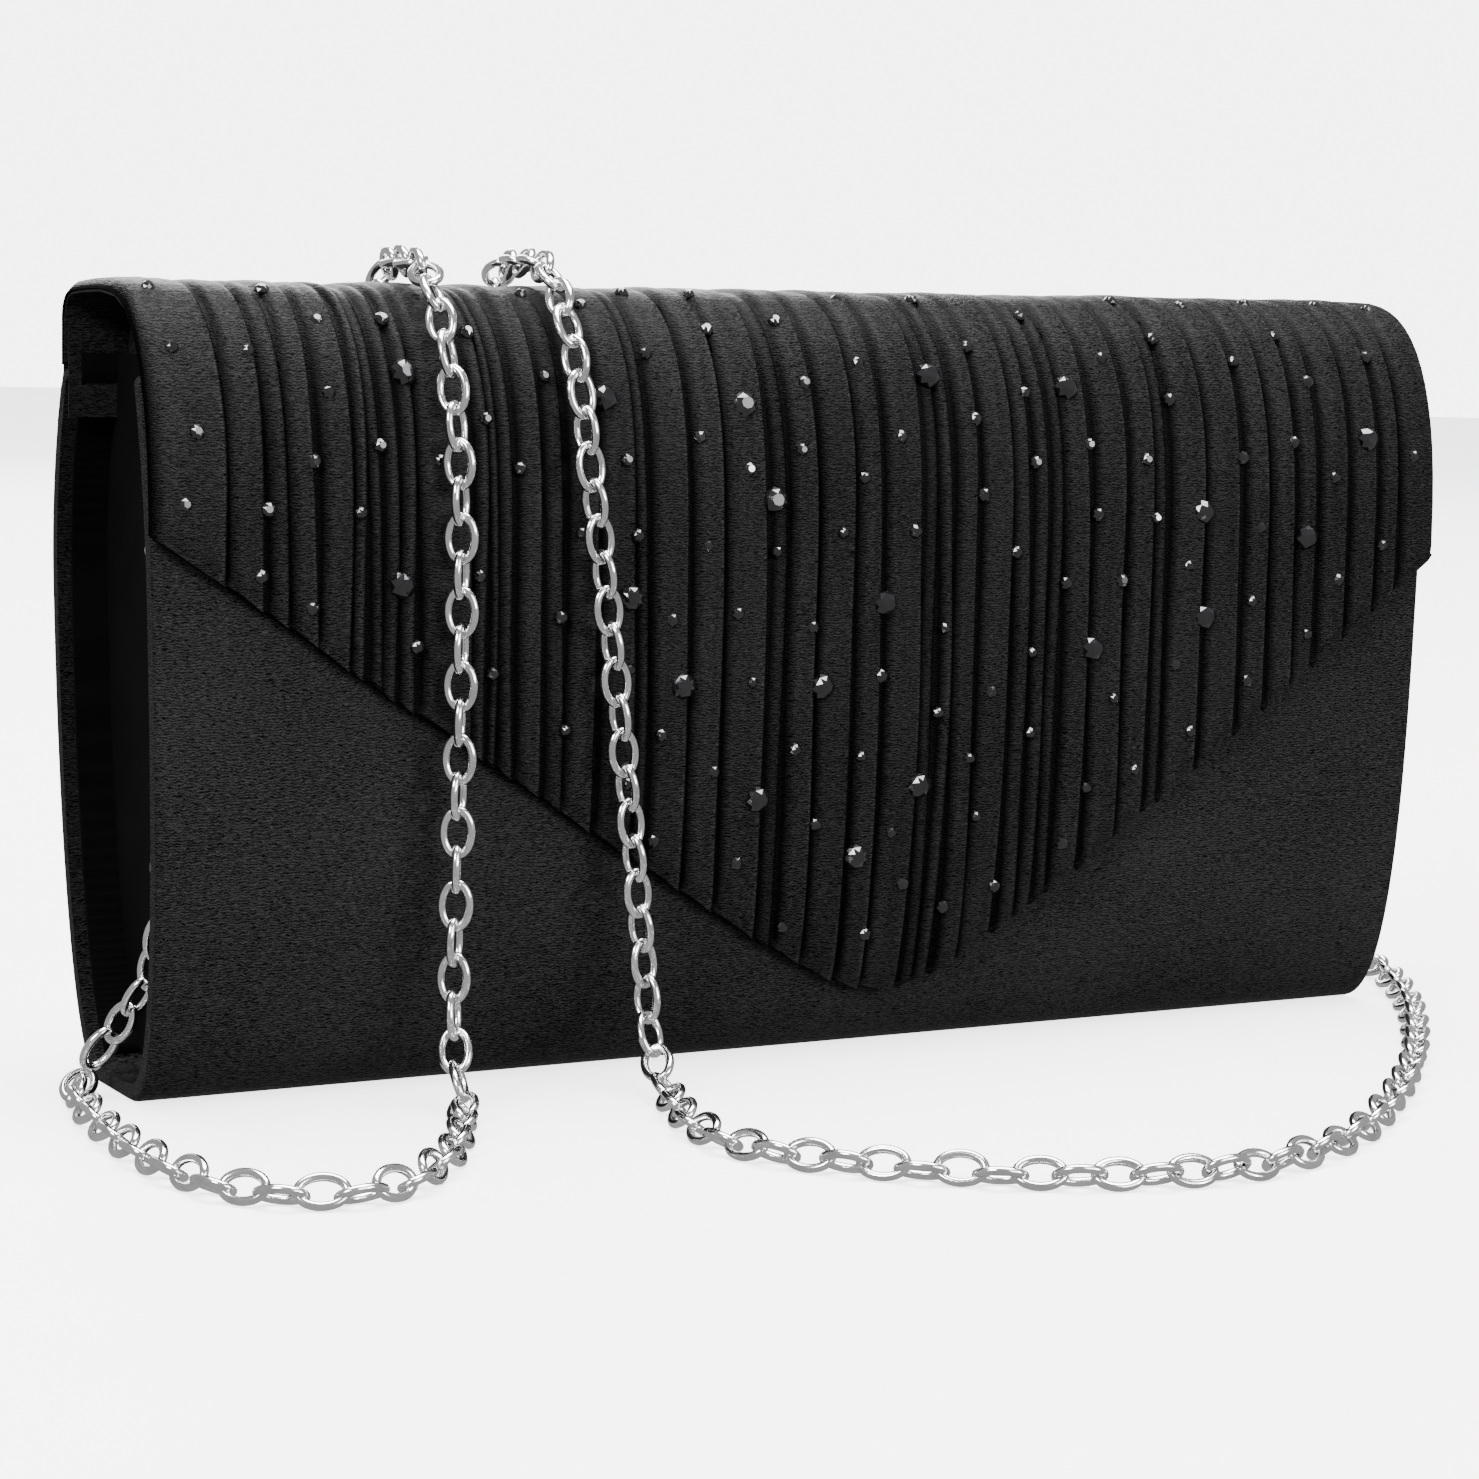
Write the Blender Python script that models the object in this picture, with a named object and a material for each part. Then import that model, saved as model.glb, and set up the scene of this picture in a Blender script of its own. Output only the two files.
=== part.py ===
"""Evening bag: a satin envelope clutch with a pleated flap, large faceted stones and a chain strap.

Every length in this script is in millimetres and is turned into metres where a mesh is made.
X runs along the bag's width, -Y is the front and +Z is up. The bag stands on z = 0. Depths (y) are
measured from the body's middle plane, which lies MID_Y behind the origin, so that the origin is
under the centre of the bag's box.
"""
import math

import bmesh
import bpy
from mathutils import Matrix, Vector

MM = 0.001

# Driving dimensions
WIDTH = 250.0
DEPTH = 50.0
BASE_DEPTH = 14.0
BASE_NARROWING = 2.6  # how much nearer the middle each side edge is at the base
WIDE_Z = 82.0  # height at which the body is deepest
PANEL_TOP_Z = 118.0
CROWN_Z = 133.0
MID_Y = 2.25
GAP = 0.3  # between touching pieces

# Panels: how round each side's lower curve is, and how far its top leans in
HULL_POWER = {-1: 3.0, 1: 2.2}
TOP_LEAN = {-1: 4.2, 1: 7.5}
HULL_STEPS = 9
LEAN_HEIGHTS = (112.0, 106.0, 99.0, 91.0)

# Layers of a panel, as depths below its outer surface
COVER_SKIN = 0.9
BOARD_LAYER = (1.2, 2.6)
LINING_LAYER = (3.4, 4.0)
BASE_BOARD_HALF = 7.9
SEAM_HALF = 0.15

# Gussets, set in between the panels' side edges
GUSSET_FACE_X = 116.5
GUSSET_EDGE_X = 122.6
GUSSET_SKIN = 0.8
GUSSET_DEPTH_IN_PANEL = 2.9
GUSSET_HEIGHTS = (4.3, 6, 8.5, 12, 17, 24, 34, 46, 60, 82, 91, 99, 106, 112, 118, 120.6)
EAR_TOP_Z = 128.6

# Flap
FLAP_WIDTH = 250.8
FLAP_BACK_Y = 17.8
FLAP_START_Z = 118.6
FLAP_CORNER_R = 6.0
FLAP_CORNER_Z = 126.4
FLAP_CROWN_Y = -2.0
FLAP_DROP_Z = 88.0  # where the crown's curve has become the front face
FLAP_POWER = 2.6
FLAP_THICKNESS = 2.2
FLAP_CLEARANCE = 0.6
FLAP_LEFT_Z = 93.0
FLAP_RIGHT_Z = 85.5
FLAP_TIP_X = 11.0
FLAP_POINT_Z = 2.5  # where the two straight edges of the V would meet
FLAP_TIP_ROUND = 8.5
FLAP_SPLIT_Z = 100.0  # rows above this height are level, rows below it follow the V
FLAP_LEVEL_ROWS = (2, 4, 6, 8, 9, 11, 13, 15, 17, 19, 21, 23)  # points of the flap's side view
FLAP_COLUMNS = (-125.4, -105, -85, -65, -48, -34, -22, -11, 0, 11, 22, 33, 44, 58, 76, 94, 110, 125.4)
FLAP_LAYERS = {"cover": (0.0, 0.8), "board": (1.1, 1.5), "lining": (1.8, 2.2)}

# Magnetic snap, under the tip of the V
SNAP_Z = 34.0
SNAP_R = 6.8
SNAP_HOLE_R = 7.2

# Strap hardware, in the recess of each gusset, behind the front panel's edge
HARDWARE_X = 120.2
RING_BAR = (-16.8, 111.0)
RING_WIRE_R = 0.6
RING_HALF_WIDTH = 2.7
RING_BOTTOM_Z = 104.3
HOOK_CENTRE = (-15.8, 103.3)
HOOK_INNER_R = 2.4
HOOK_OUTER_R = 3.7
HOOK_THICKNESS = 2.6
GATE_THICKNESS = 1.0
PIN_R = 0.4
PIN_BORE_R = 0.46
EYE_Z = 90.4
EYE_R = 1.7
JUMP_Z = 87.7
JUMP_R = 2.2
LINK_WIRE_R = 0.5

# Chain strap
CHAIN_R = 2.8
CHAIN_POINTS = 79
CHAIN_BEND_WEIGHT = 7.0  # extra length that a radian of bend counts as, when points are shared out
CHAIN_ROUTE = (
    # left clasp, down the gusset's recess and out onto the floor
    (-120.2, -15.8, 84.6), (-120.2, -16.6, 66), (-120.1, -16.8, 50), (-120.1, -16.0, 36),
    (-120.4, -13.6, 25), (-121.8, -8.8, 16), (-125.0, -4.0, 8.8), (-129.2, -4.4, 4.2),
    # left loop on the floor, to the foot of the left strand
    (-132.2, -12, 3.1), (-134.4, -27, 3.1), (-136, -47, 3.1), (-135, -66, 3.1),
    (-130.2, -80, 3.1), (-120, -88, 3.1), (-108.5, -87, 3.1), (-96, -75.5, 3.1),
    (-85.5, -58.5, 3.1), (-78.8, -44, 3.6), (-76.2, -35.2, 8.6),
    # left strand, up the front and over the crown
    (-75.2, -31.8, 18), (-74.8, -31.3, 32), (-74.4, -31.2, 60), (-74.4, -31.2, 86),
    (-74.8, -30.8, 104), (-75.2, -28.8, 116), (-75.3, -24.9, 125.6), (-74.9, -19.4, 131.8),
    (-73.6, -12.2, 135.6), (-71.8, -3, 136.7), (-69.8, 6.5, 136.6), (-68.2, 14.2, 136.2),
    (-67.2, 20.4, 134.0), (-67, 22.8, 127.6),
    # the loop behind the back panel
    (-67.2, 22.9, 118), (-67.8, 25.4, 107), (-68.4, 27.9, 95), (-68.8, 28.6, 82),
    (-69, 28.7, 62), (-69, 28.7, 42), (-67.6, 28.7, 27.5), (-63.4, 28.7, 19.4),
    (-57, 28.7, 16.6), (-50.6, 28.7, 19.4), (-46.4, 28.7, 27.5), (-45, 28.7, 42),
    (-45, 28.7, 62), (-45, 28.6, 82), (-44.8, 27.9, 95), (-44.6, 25.4, 107),
    (-44.6, 22.9, 118),
    # right strand, over the crown and down the front
    (-44.8, 22.8, 127.6), (-45.2, 20.4, 134.0), (-46.2, 14.2, 136.2), (-47.8, 6.5, 136.7),
    (-49.6, -3, 136.8), (-51.2, -12.2, 135.8), (-52.4, -19.4, 132.0), (-52.8, -24.9, 125.6),
    (-52.4, -28.8, 116), (-51.5, -30.8, 104),
    (-48.8, -31.2, 86), (-45.2, -31.2, 60), (-41.6, -31.3, 32), (-40.2, -31.8, 18),
    (-40.6, -35.2, 8.6), (-42.6, -44.5, 3.6),
    # right loop on the floor, round the right end
    (-47.2, -58, 3.1), (-50.4, -73, 3.1), (-48, -88, 3.1), (-39.4, -101, 3.1),
    (-28, -112, 3.1), (-14, -121, 3.1), (0, -126, 3.1), (15, -127, 3.1),
    (30, -123, 3.1), (46, -114, 3.1), (64, -99, 3.1), (87, -75.5, 3.1),
    (109, -48.5, 3.1), (129, -19, 3.1), (141, 6.2, 3.1), (140.8, 18.4, 3.1),
    (134.4, 19.4, 3.6), (128.4, 10.0, 6.4),
    # up the right gusset's recess to the right clasp
    (123.8, 1.6, 12.4), (120.8, -6.0, 21), (120.1, -13.2, 33), (120.1, -16.6, 50),
    (120.2, -16.6, 66), (120.2, -15.8, 84.6),
)

# Large stones on the flap: across the width and up from the floor
STONE_PLACES = (
    (-81.5, 119), (-46, 115), (-20, 114), (17, 119), (45, 117), (110, 108), (-15, 98),
    (73, 95), (96, 90), (-83, 85), (-42, 82), (7, 80), (74, 76), (50, 71), (-32, 67),
    (-5, 66), (15, 48), (-17, 47), (3, 36),
)
STONE_SIDES = 8
STONE_PROFILE = ((2.15, 0.0), (2.3, 0.3), (1.75, 0.95), (1.0, 1.35))


def clear_scene():
    for obj in list(bpy.data.objects):
        bpy.data.objects.remove(obj, do_unlink=True)


def make_material(name, colour, roughness, metallic=0.0):
    material = bpy.data.materials.new(name)
    material.use_nodes = True
    shader = material.node_tree.nodes["Principled BSDF"]
    shader.inputs["Base Color"].default_value = (*colour, 1.0)
    shader.inputs["Roughness"].default_value = roughness
    shader.inputs["Metallic"].default_value = metallic
    return material


def add_object(name, data, material, origin=(0.0, 0.0, 0.0), smooth=False):
    """Places data, whose coordinates are metres from origin (mm), as a named object."""
    obj = bpy.data.objects.new(name, data)
    obj.location = Vector((origin[0], origin[1] + MID_Y, origin[2])) * MM
    data.materials.append(material)
    if smooth:
        data.shade_smooth()
        data.set_sharp_from_angle(angle=math.radians(35))
    bpy.context.scene.collection.objects.link(obj)
    return obj


def mesh_object(name, bm, material, origin=(0.0, 0.0, 0.0), smooth=False):
    """Turns a bmesh in millimetres into an object whose origin is at origin."""
    bmesh.ops.recalc_face_normals(bm, faces=bm.faces)
    bmesh.ops.transform(
        bm, matrix=Matrix.Scale(MM, 4) @ Matrix.Translation(-Vector(origin)), verts=bm.verts
    )
    mesh = bpy.data.meshes.new(name)
    bm.to_mesh(mesh)
    bm.free()
    return add_object(name, mesh, material, origin, smooth)


def add_loops(bm, loops, closed=True):
    """Joins rings of points with quads, and can close both ends with a face each."""
    rings = [[bm.verts.new(point) for point in loop] for loop in loops]
    count = len(rings[0])
    for first, second in zip(rings, rings[1:]):
        for k in range(count):
            bm.faces.new((first[k], second[k], second[(k + 1) % count], first[(k + 1) % count]))
    if closed:
        bm.faces.new(rings[0])
        bm.faces.new(list(reversed(rings[-1])))
    return rings


def narrowed(x, z):
    """The place across the width of a body point: the sides draw in evenly towards the base."""
    return x * (1 - (1 - z / PANEL_TOP_Z) * BASE_NARROWING / (WIDTH / 2))


def prism(name, outline, x_low, x_high, material, origin=(0.0, 0.0, 0.0), narrow=False):
    """A (y, z) outline extruded along X. A piece of the body narrows towards its base."""
    bm = bmesh.new()
    add_loops(bm, [
        [(narrowed(x, z) if narrow else x, y, z) for y, z in outline] for x in (x_low, x_high)
    ])
    return mesh_object(name, bm, material, origin)


def body_prism(name, outline, x_low, x_high, material):
    return prism(name, outline, x_low, x_high, material, narrow=True)


def turned(name, profile, sides, place, material, origin=(0.0, 0.0, 0.0), ring=False):
    """A (radius, height) profile turned about Z and moved by the matrix place.

    A ring's profile is a closed loop round a hole, any other runs from base to top.
    """
    bm = bmesh.new()
    circles = [
        [
            (r * math.cos(2 * math.pi * k / sides), r * math.sin(2 * math.pi * k / sides), h)
            for k in range(sides)
        ]
        for r, h in (list(profile) + [profile[0]] if ring else profile)
    ]
    add_loops(bm, circles, closed=not ring)
    if ring:
        bmesh.ops.remove_doubles(bm, verts=bm.verts, dist=1e-5)
    bmesh.ops.transform(bm, matrix=place, verts=bm.verts)
    return mesh_object(name, bm, material, origin, smooth=True)


def tube(name, points, radius, material, closed=False, origin=(0.0, 0.0, 0.0), rings=2):
    """A round wire or cord along points."""
    curve = bpy.data.curves.new(name, "CURVE")
    curve.dimensions = "3D"
    curve.bevel_depth = radius * MM
    curve.bevel_resolution = rings
    curve.use_fill_caps = True
    spline = curve.splines.new("POLY")
    spline.points.add(len(points) - 1)
    for point, place in zip(spline.points, points):
        point.co = (*((Vector(place) - Vector(origin)) * MM), 1.0)
    spline.use_cyclic_u = closed
    spline.use_smooth = True
    return add_object(name, curve, material, origin)


def cut(obj, cutter):
    """Takes cutter's shape out of obj."""
    cutter.hide_render = True
    cutter.display_type = "WIRE"
    modifier = obj.modifiers.new("cut", "BOOLEAN")
    modifier.operation = "DIFFERENCE"
    modifier.object = cutter


def fuse(obj, other):
    """Joins other's shape to obj, and hides other."""
    cut(obj, other)
    obj.modifiers[-1].operation = "UNION"


def arc(centre, radius, start, end, steps):
    """Points on a circle in a plane, with angles in degrees."""
    angles = [math.radians(start + (end - start) * k / steps) for k in range(steps + 1)]
    return [(centre[0] + radius * math.cos(a), centre[1] + radius * math.sin(a)) for a in angles]


def offset_line(points, distance):
    """Moves each inner point of an open line along its normal, to the left of the line."""
    moved = []
    for k, point in enumerate(points):
        before = Vector(points[max(k - 1, 0)])
        after = Vector(points[min(k + 1, len(points) - 1)])
        along = (after - before).normalized()
        moved.append(tuple(Vector(point) + Vector((-along.y, along.x)) * distance))
    return moved


# ---- body panels ----

def hull_point(side, angle):
    """A point of a panel's lower curve: angle 0 is at WIDE_Z and 90 degrees is on the floor."""
    power = 2.0 / HULL_POWER[side]
    half_base = BASE_DEPTH / 2
    across = half_base + (DEPTH / 2 - half_base) * max(math.cos(angle), 0.0) ** power
    return side * across, WIDE_Z * (1 - math.sin(angle) ** power)


def lean_point(side, z):
    """A point of a panel above WIDE_Z."""
    share = (z - WIDE_Z) / (PANEL_TOP_Z - WIDE_Z)
    return side * (DEPTH / 2 - TOP_LEAN[side] * share**2), z


def panel_line(side, top, end_y):
    """A panel's outer surface, from its top edge down and under, to end_y from the middle plane."""
    line = [lean_point(side, z) for z in (top, *LEAN_HEIGHTS, WIDE_Z) if z <= top]
    for k in range(1, HULL_STEPS + 1):
        y, z = hull_point(side, math.radians(90 * k / HULL_STEPS))
        if abs(y) > end_y:
            line.append((y, z))
    return line + [(side * end_y, 0.0 if end_y < BASE_DEPTH / 2 else line[-1][1] * 0.3)]


def panel_layer(side, top, end_y, outer, inner):
    """The closed outline of one layer of a panel, between two depths below its surface."""
    line = panel_line(side, top, end_y)
    return shifted(line, side, outer) + list(reversed(shifted(line, side, inner)))


def shifted(line, side, depth):
    """A panel line moved inwards, with its top end kept level and its lower end kept upright."""
    moved = offset_line(line, -side * depth)
    top_y = line[0][0] - side * depth
    return [(top_y, line[0][1])] + moved[1:-1] + [(line[-1][0], line[-1][1] + depth)]


def depth_at(side, depth, z):
    """How far forward or back the surface at a depth below a panel's outer face is, at height z."""
    line = shifted(panel_line(side, PANEL_TOP_Z, SEAM_HALF), side, depth)
    if z >= line[0][1]:
        return line[0][0]
    for (y0, z0), (y1, z1) in zip(line, line[1:]):
        if z1 <= z <= z0:
            return y0 + (y1 - y0) * (z0 - z) / (z0 - z1)
    return line[-1][0]


def build_cover(name, side, material):
    """A satin cover: an outer skin, with returns round the board at its top and side edges."""
    half = WIDTH / 2
    outline = panel_layer(side, PANEL_TOP_Z, SEAM_HALF, 0.0, BOARD_LAYER[1])
    cover = body_prism(name, outline, -half, half, material)
    line = panel_line(side, PANEL_TOP_Z - COVER_SKIN, SEAM_HALF)
    pocket = shifted(line, side, COVER_SKIN)
    pocket += [(-side * 5.0, pocket[-1][1]), (-side * 5.0, pocket[0][1])]
    inner_half = half - COVER_SKIN
    cutter = body_prism(name + "_pocket", pocket, -inner_half, inner_half, material)
    cut(cover, cutter)
    return cover


def build_body(satin, board, lining):
    inner_half = WIDTH / 2 - COVER_SKIN - GAP
    top = PANEL_TOP_Z - COVER_SKIN - GAP
    parts = {}
    for side, word in ((-1, "front"), (1, "back")):
        parts[word + "_cover"] = build_cover(word + "_cover", side, satin)
        outline = panel_layer(side, top, BASE_BOARD_HALF + GAP, *BOARD_LAYER)
        parts[word + "_board"] = body_prism(
            word + "_board", outline, -inner_half, inner_half, board
        )
        outline = panel_layer(side, PANEL_TOP_Z, SEAM_HALF, *LINING_LAYER)
        lining_half = GUSSET_FACE_X - GUSSET_SKIN - 3 * GAP - 0.4
        parts[word + "_lining"] = body_prism(
            word + "_lining", outline, -lining_half, lining_half, lining
        )
    low, high = BOARD_LAYER
    half = BASE_BOARD_HALF - GAP
    outline = [(-half, low), (half, low), (half, high), (-half, high)]
    body_prism("base_board", outline, -inner_half, inner_half, board)
    return parts


def build_slip_pocket(material):
    line = [point for point in panel_line(1, 92.0, SEAM_HALF) if point[1] > 25.0]
    outer = offset_line(line, -4.4)
    inner = offset_line(line, -5.0)
    prism("slip_pocket", outer + list(reversed(inner)), -56.0, 56.0, material)


# ---- gussets ----

def build_gusset(name, side, material):
    """A fabric channel: a face between the panels, with a flange along each of them."""
    face, edge = side * GUSSET_FACE_X, side * GUSSET_EDGE_X
    back = side * (GUSSET_FACE_X - GUSSET_SKIN)
    loops = []
    for z in GUSSET_HEIGHTS:
        front_y = depth_at(-1, GUSSET_DEPTH_IN_PANEL, z)
        back_y = depth_at(1, GUSSET_DEPTH_IN_PANEL, z)
        section = [
            (edge, front_y), (back, front_y), (back, back_y), (edge, back_y),
            (edge, back_y - GUSSET_SKIN), (face, back_y - GUSSET_SKIN),
            (face, front_y + GUSSET_SKIN), (edge, front_y + GUSSET_SKIN),
        ]
        loops.append([(narrowed(x, z), y, z) for x, y in section])
    bm = bmesh.new()
    add_loops(bm, loops)
    mesh_object(name, bm, material)


def build_gusset_lining(name, side, material):
    """A satin side wall inside the gusset, with a rounded ear that stands up into the flap."""
    depth = GUSSET_DEPTH_IN_PANEL + 0.2
    front = [(depth_at(-1, depth, z), z) for z in GUSSET_HEIGHTS]
    back = [(depth_at(1, depth, z), z) for z in reversed(GUSSET_HEIGHTS)]
    radius = 7.0
    ear = arc((-6.0, EAR_TOP_Z - radius), radius, 180, 90, 4)
    ear += arc((5.0, EAR_TOP_Z - radius), radius, 90, 0, 4)
    outer = side * (GUSSET_FACE_X - GUSSET_SKIN - GAP)
    inner = side * (GUSSET_FACE_X - GUSSET_SKIN - GAP - 0.6)
    body_prism(name, front + ear + back, min(outer, inner), max(outer, inner), material)


# ---- flap ----

def flap_line():
    """The flap's outer surface in side view, from the fold at the back top edge to the V's tip."""
    corner_y = FLAP_BACK_Y - FLAP_CORNER_R
    line = [(FLAP_BACK_Y, FLAP_START_Z), (FLAP_BACK_Y, (FLAP_START_Z + FLAP_CORNER_Z) / 2)]
    line += arc((corner_y, FLAP_CORNER_Z), FLAP_CORNER_R, 0, 90, 6)
    rise = CROWN_Z - FLAP_CORNER_Z - FLAP_CORNER_R
    for share in (0.35, 0.7):
        y = corner_y + (FLAP_CROWN_Y - corner_y) * share
        line.append((y, CROWN_Z - rise * (1 - share) ** 2))
    front_y = DEPTH / 2 + FLAP_CLEARANCE + FLAP_THICKNESS
    power = 2.0 / FLAP_POWER
    for k in range(16):
        angle = math.radians(90 - 6 * k)
        y = FLAP_CROWN_Y - (front_y + FLAP_CROWN_Y) * max(math.cos(angle), 0.0) ** power
        line.append((y, FLAP_DROP_Z + (CROWN_Z - FLAP_DROP_Z) * math.sin(angle) ** power))
    hull = [hull_point(-1, math.radians(3 * k)) for k in range(27)]
    return line + offset_line(hull, -(FLAP_CLEARANCE + FLAP_THICKNESS))


class Path:
    """Lengths along the flap's side view, and points at a depth below it."""

    def __init__(self, points):
        self.points = [Vector(point) for point in points]
        self.lengths = [0.0]
        for first, second in zip(self.points, self.points[1:]):
            self.lengths.append(self.lengths[-1] + (second - first).length)

    def at(self, length):
        for k in range(1, len(self.lengths)):
            if length <= self.lengths[k] or k == len(self.lengths) - 1:
                span = self.lengths[k] - self.lengths[k - 1]
                return self.points[k - 1].lerp(self.points[k], (length - self.lengths[k - 1]) / span)

    def inward(self, length):
        """The unit direction into the bag, square to the path."""
        along = (self.at(length + 1.0) - self.at(length - 1.0)).normalized()
        return Vector((-along.y, along.x))

    def below(self, length, depth):
        return self.at(length) + self.inward(length) * depth

    def length_at_height(self, z):
        """The length at which the front of the path comes down to z."""
        for k in range(len(self.points) - 1, 0, -1):
            if self.points[k].y <= z <= self.points[k - 1].y:
                share = (self.points[k - 1].y - z) / (self.points[k - 1].y - self.points[k].y)
                return self.lengths[k - 1] + share * (self.lengths[k] - self.lengths[k - 1])
        return self.lengths[-1]


def flap_edge_height(x):
    """Height of the V's edge: two straight runs that meet in a rounded tip."""
    if x < FLAP_TIP_X:
        slope = (FLAP_LEFT_Z - FLAP_POINT_Z) / (FLAP_TIP_X + FLAP_WIDTH / 2)
    else:
        slope = (FLAP_RIGHT_Z - FLAP_POINT_Z) / (FLAP_WIDTH / 2 - FLAP_TIP_X)
    return FLAP_POINT_Z + math.hypot(slope * (x - FLAP_TIP_X), FLAP_TIP_ROUND)


def build_flap_layer(name, path, depths, inset, material):
    """One layer of the flap, between two depths below its outer surface."""
    split = path.length_at_height(FLAP_SPLIT_Z)
    level_rows = [inset] + [path.lengths[k] for k in FLAP_LEVEL_ROWS]
    columns = [x * (1 - 2 * inset / FLAP_WIDTH) for x in FLAP_COLUMNS]
    sheets = []
    for depth in depths:
        sheet = []
        for x in columns:
            end = path.length_at_height(flap_edge_height(x)) - inset * 1.3
            lengths = level_rows + [split + (end - split) * k / 6 for k in range(7)]
            points = [path.below(length, depth) for length in lengths]
            sheet.append([(x, point.x, point.y) for point in points])
        sheets.append(sheet)
    loops = [outer + list(reversed(inner)) for outer, inner in zip(*sheets)]
    bm = bmesh.new()
    rings = add_loops(bm, loops, closed=False)
    count = len(rings[0])
    for ring in (rings[0], rings[-1]):
        for k in range(count // 2 - 1):
            bm.faces.new((ring[k], ring[k + 1], ring[count - 2 - k], ring[count - 1 - k]))
    return mesh_object(name, bm, material, (0.0, FLAP_BACK_Y, FLAP_START_Z))


def surface_matrix(x, y, z, inward):
    """A frame whose Z points out of a surface with the given (y, z) inward direction."""
    out = Vector((0.0, -inward.x, -inward.y))
    sideways = Vector((1.0, 0.0, 0.0))
    third = out.cross(sideways)
    rotation = Matrix((sideways, third, out)).transposed().to_4x4()
    return Matrix.Translation((x, y, z)) @ rotation


def build_stones(path, material):
    for number, (x, z) in enumerate(STONE_PLACES, 1):
        length = path.length_at_height(z)
        point = path.below(length, -GAP)
        place = surface_matrix(x, point.x, point.y, path.inward(length))
        turned(
            f"large_stone_{number:02d}", STONE_PROFILE, STONE_SIDES, place, material,
            (0.0, FLAP_BACK_Y, FLAP_START_Z),
        )


def disc(name, place, radius, low, high, material):
    return turned(name, ((radius, low), (radius, high)), 24, place, material)


def build_snap(path, body, flap, metal, magnet_material):
    """The magnetic snap: a stud in the flap, and a socket with a ring magnet in the front panel."""
    reach = 4.0  # half the height over which the panel's slope is taken
    upper = Vector((depth_at(-1, 0.0, SNAP_Z + reach), SNAP_Z + reach))
    lower = Vector((depth_at(-1, 0.0, SNAP_Z - reach), SNAP_Z - reach))
    along = (lower - upper).normalized()
    inward = Vector((-along.y, along.x))
    place = surface_matrix(FLAP_TIP_X, depth_at(-1, 0.0, SNAP_Z), SNAP_Z, inward)
    for word in ("front_cover", "front_board"):
        cut(body[word], disc(word + "_snap_hole", place, SNAP_HOLE_R, -3.0, 3.0, metal))
    turned("snap_socket", (
        (3.0, 0.2), (SNAP_R, 0.2), (SNAP_R, -2.4), (SNAP_R - 0.5, -2.4), (SNAP_R - 0.5, -0.4),
        (3.5, -0.4), (3.5, -2.0), (3.0, -2.0),
    ), 24, place, metal, ring=True)
    turned("snap_magnet", (
        (3.8, -0.7), (SNAP_R - 0.8, -0.7), (SNAP_R - 0.8, -2.3), (3.8, -2.3),
    ), 24, place, magnet_material, ring=True)
    disc("snap_socket_plate", place, SNAP_R, -3.12, -2.84, metal)
    hinge = (0.0, FLAP_BACK_Y, FLAP_START_Z)
    inner_face = FLAP_CLEARANCE
    for word in ("flap_board", "flap_lining"):
        cut(flap[word], disc(word + "_snap_hole", place, SNAP_HOLE_R, -0.2, 2.2, metal))
    turned("snap_stud", (
        (1.6, inner_face - 1.1), (2.0, inner_face - 0.8), (2.0, inner_face - 0.05),
        (SNAP_R, inner_face - 0.05), (SNAP_R, inner_face + 0.45),
    ), 24, place, metal, hinge)
    turned("snap_stud_plate", ((SNAP_R, inner_face + 0.7), (SNAP_R, inner_face + 1.1)),
           24, place, metal, hinge)


# ---- strap hardware ----

def build_ring_and_tab(word, x, metal, fabric):
    """A D-ring that hangs from a folded fabric tab. Its straight bar is the axis it swings on."""
    bar_y, bar_z = RING_BAR
    half, corner = RING_HALF_WIDTH, 0.9
    bow_z = RING_BOTTOM_Z + half
    outline = arc((-half + corner, bar_z - corner), corner, 180, 90, 2)
    outline += arc((half - corner, bar_z - corner), corner, 90, 0, 2)
    outline += arc((0.0, bow_z), half, 0, -180, 8)
    points = [(x + across, bar_y, up) for across, up in outline]
    tube(f"d_ring_{word}", points, RING_WIRE_R, metal, True, (x, bar_y, bar_z), rings=1)
    loop_r = 1.4
    rows = [(118.2, 0.3), (115.0, 0.3), (112.2, 0.3)]
    front = [(depth_at(-1, GUSSET_DEPTH_IN_PANEL + GUSSET_SKIN, z) + gap, z) for z, gap in rows]
    back = [(bar_y + 0.5, 113.4), (front[1][0] + 1.0, 115.0), (front[0][0] + 1.0, 118.2)]
    outline = front + arc((bar_y, bar_z), loop_r, 180, 360, 8) + back
    tab = prism(f"ring_tab_{word}", outline, x - 1.7, x + 1.7, fabric)
    hole = arc((bar_y, bar_z), RING_WIRE_R + 0.3, 0, 345, 23)
    cut(tab, prism(f"ring_tab_{word}_hole", hole, x - 3.0, x + 3.0, fabric))


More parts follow.
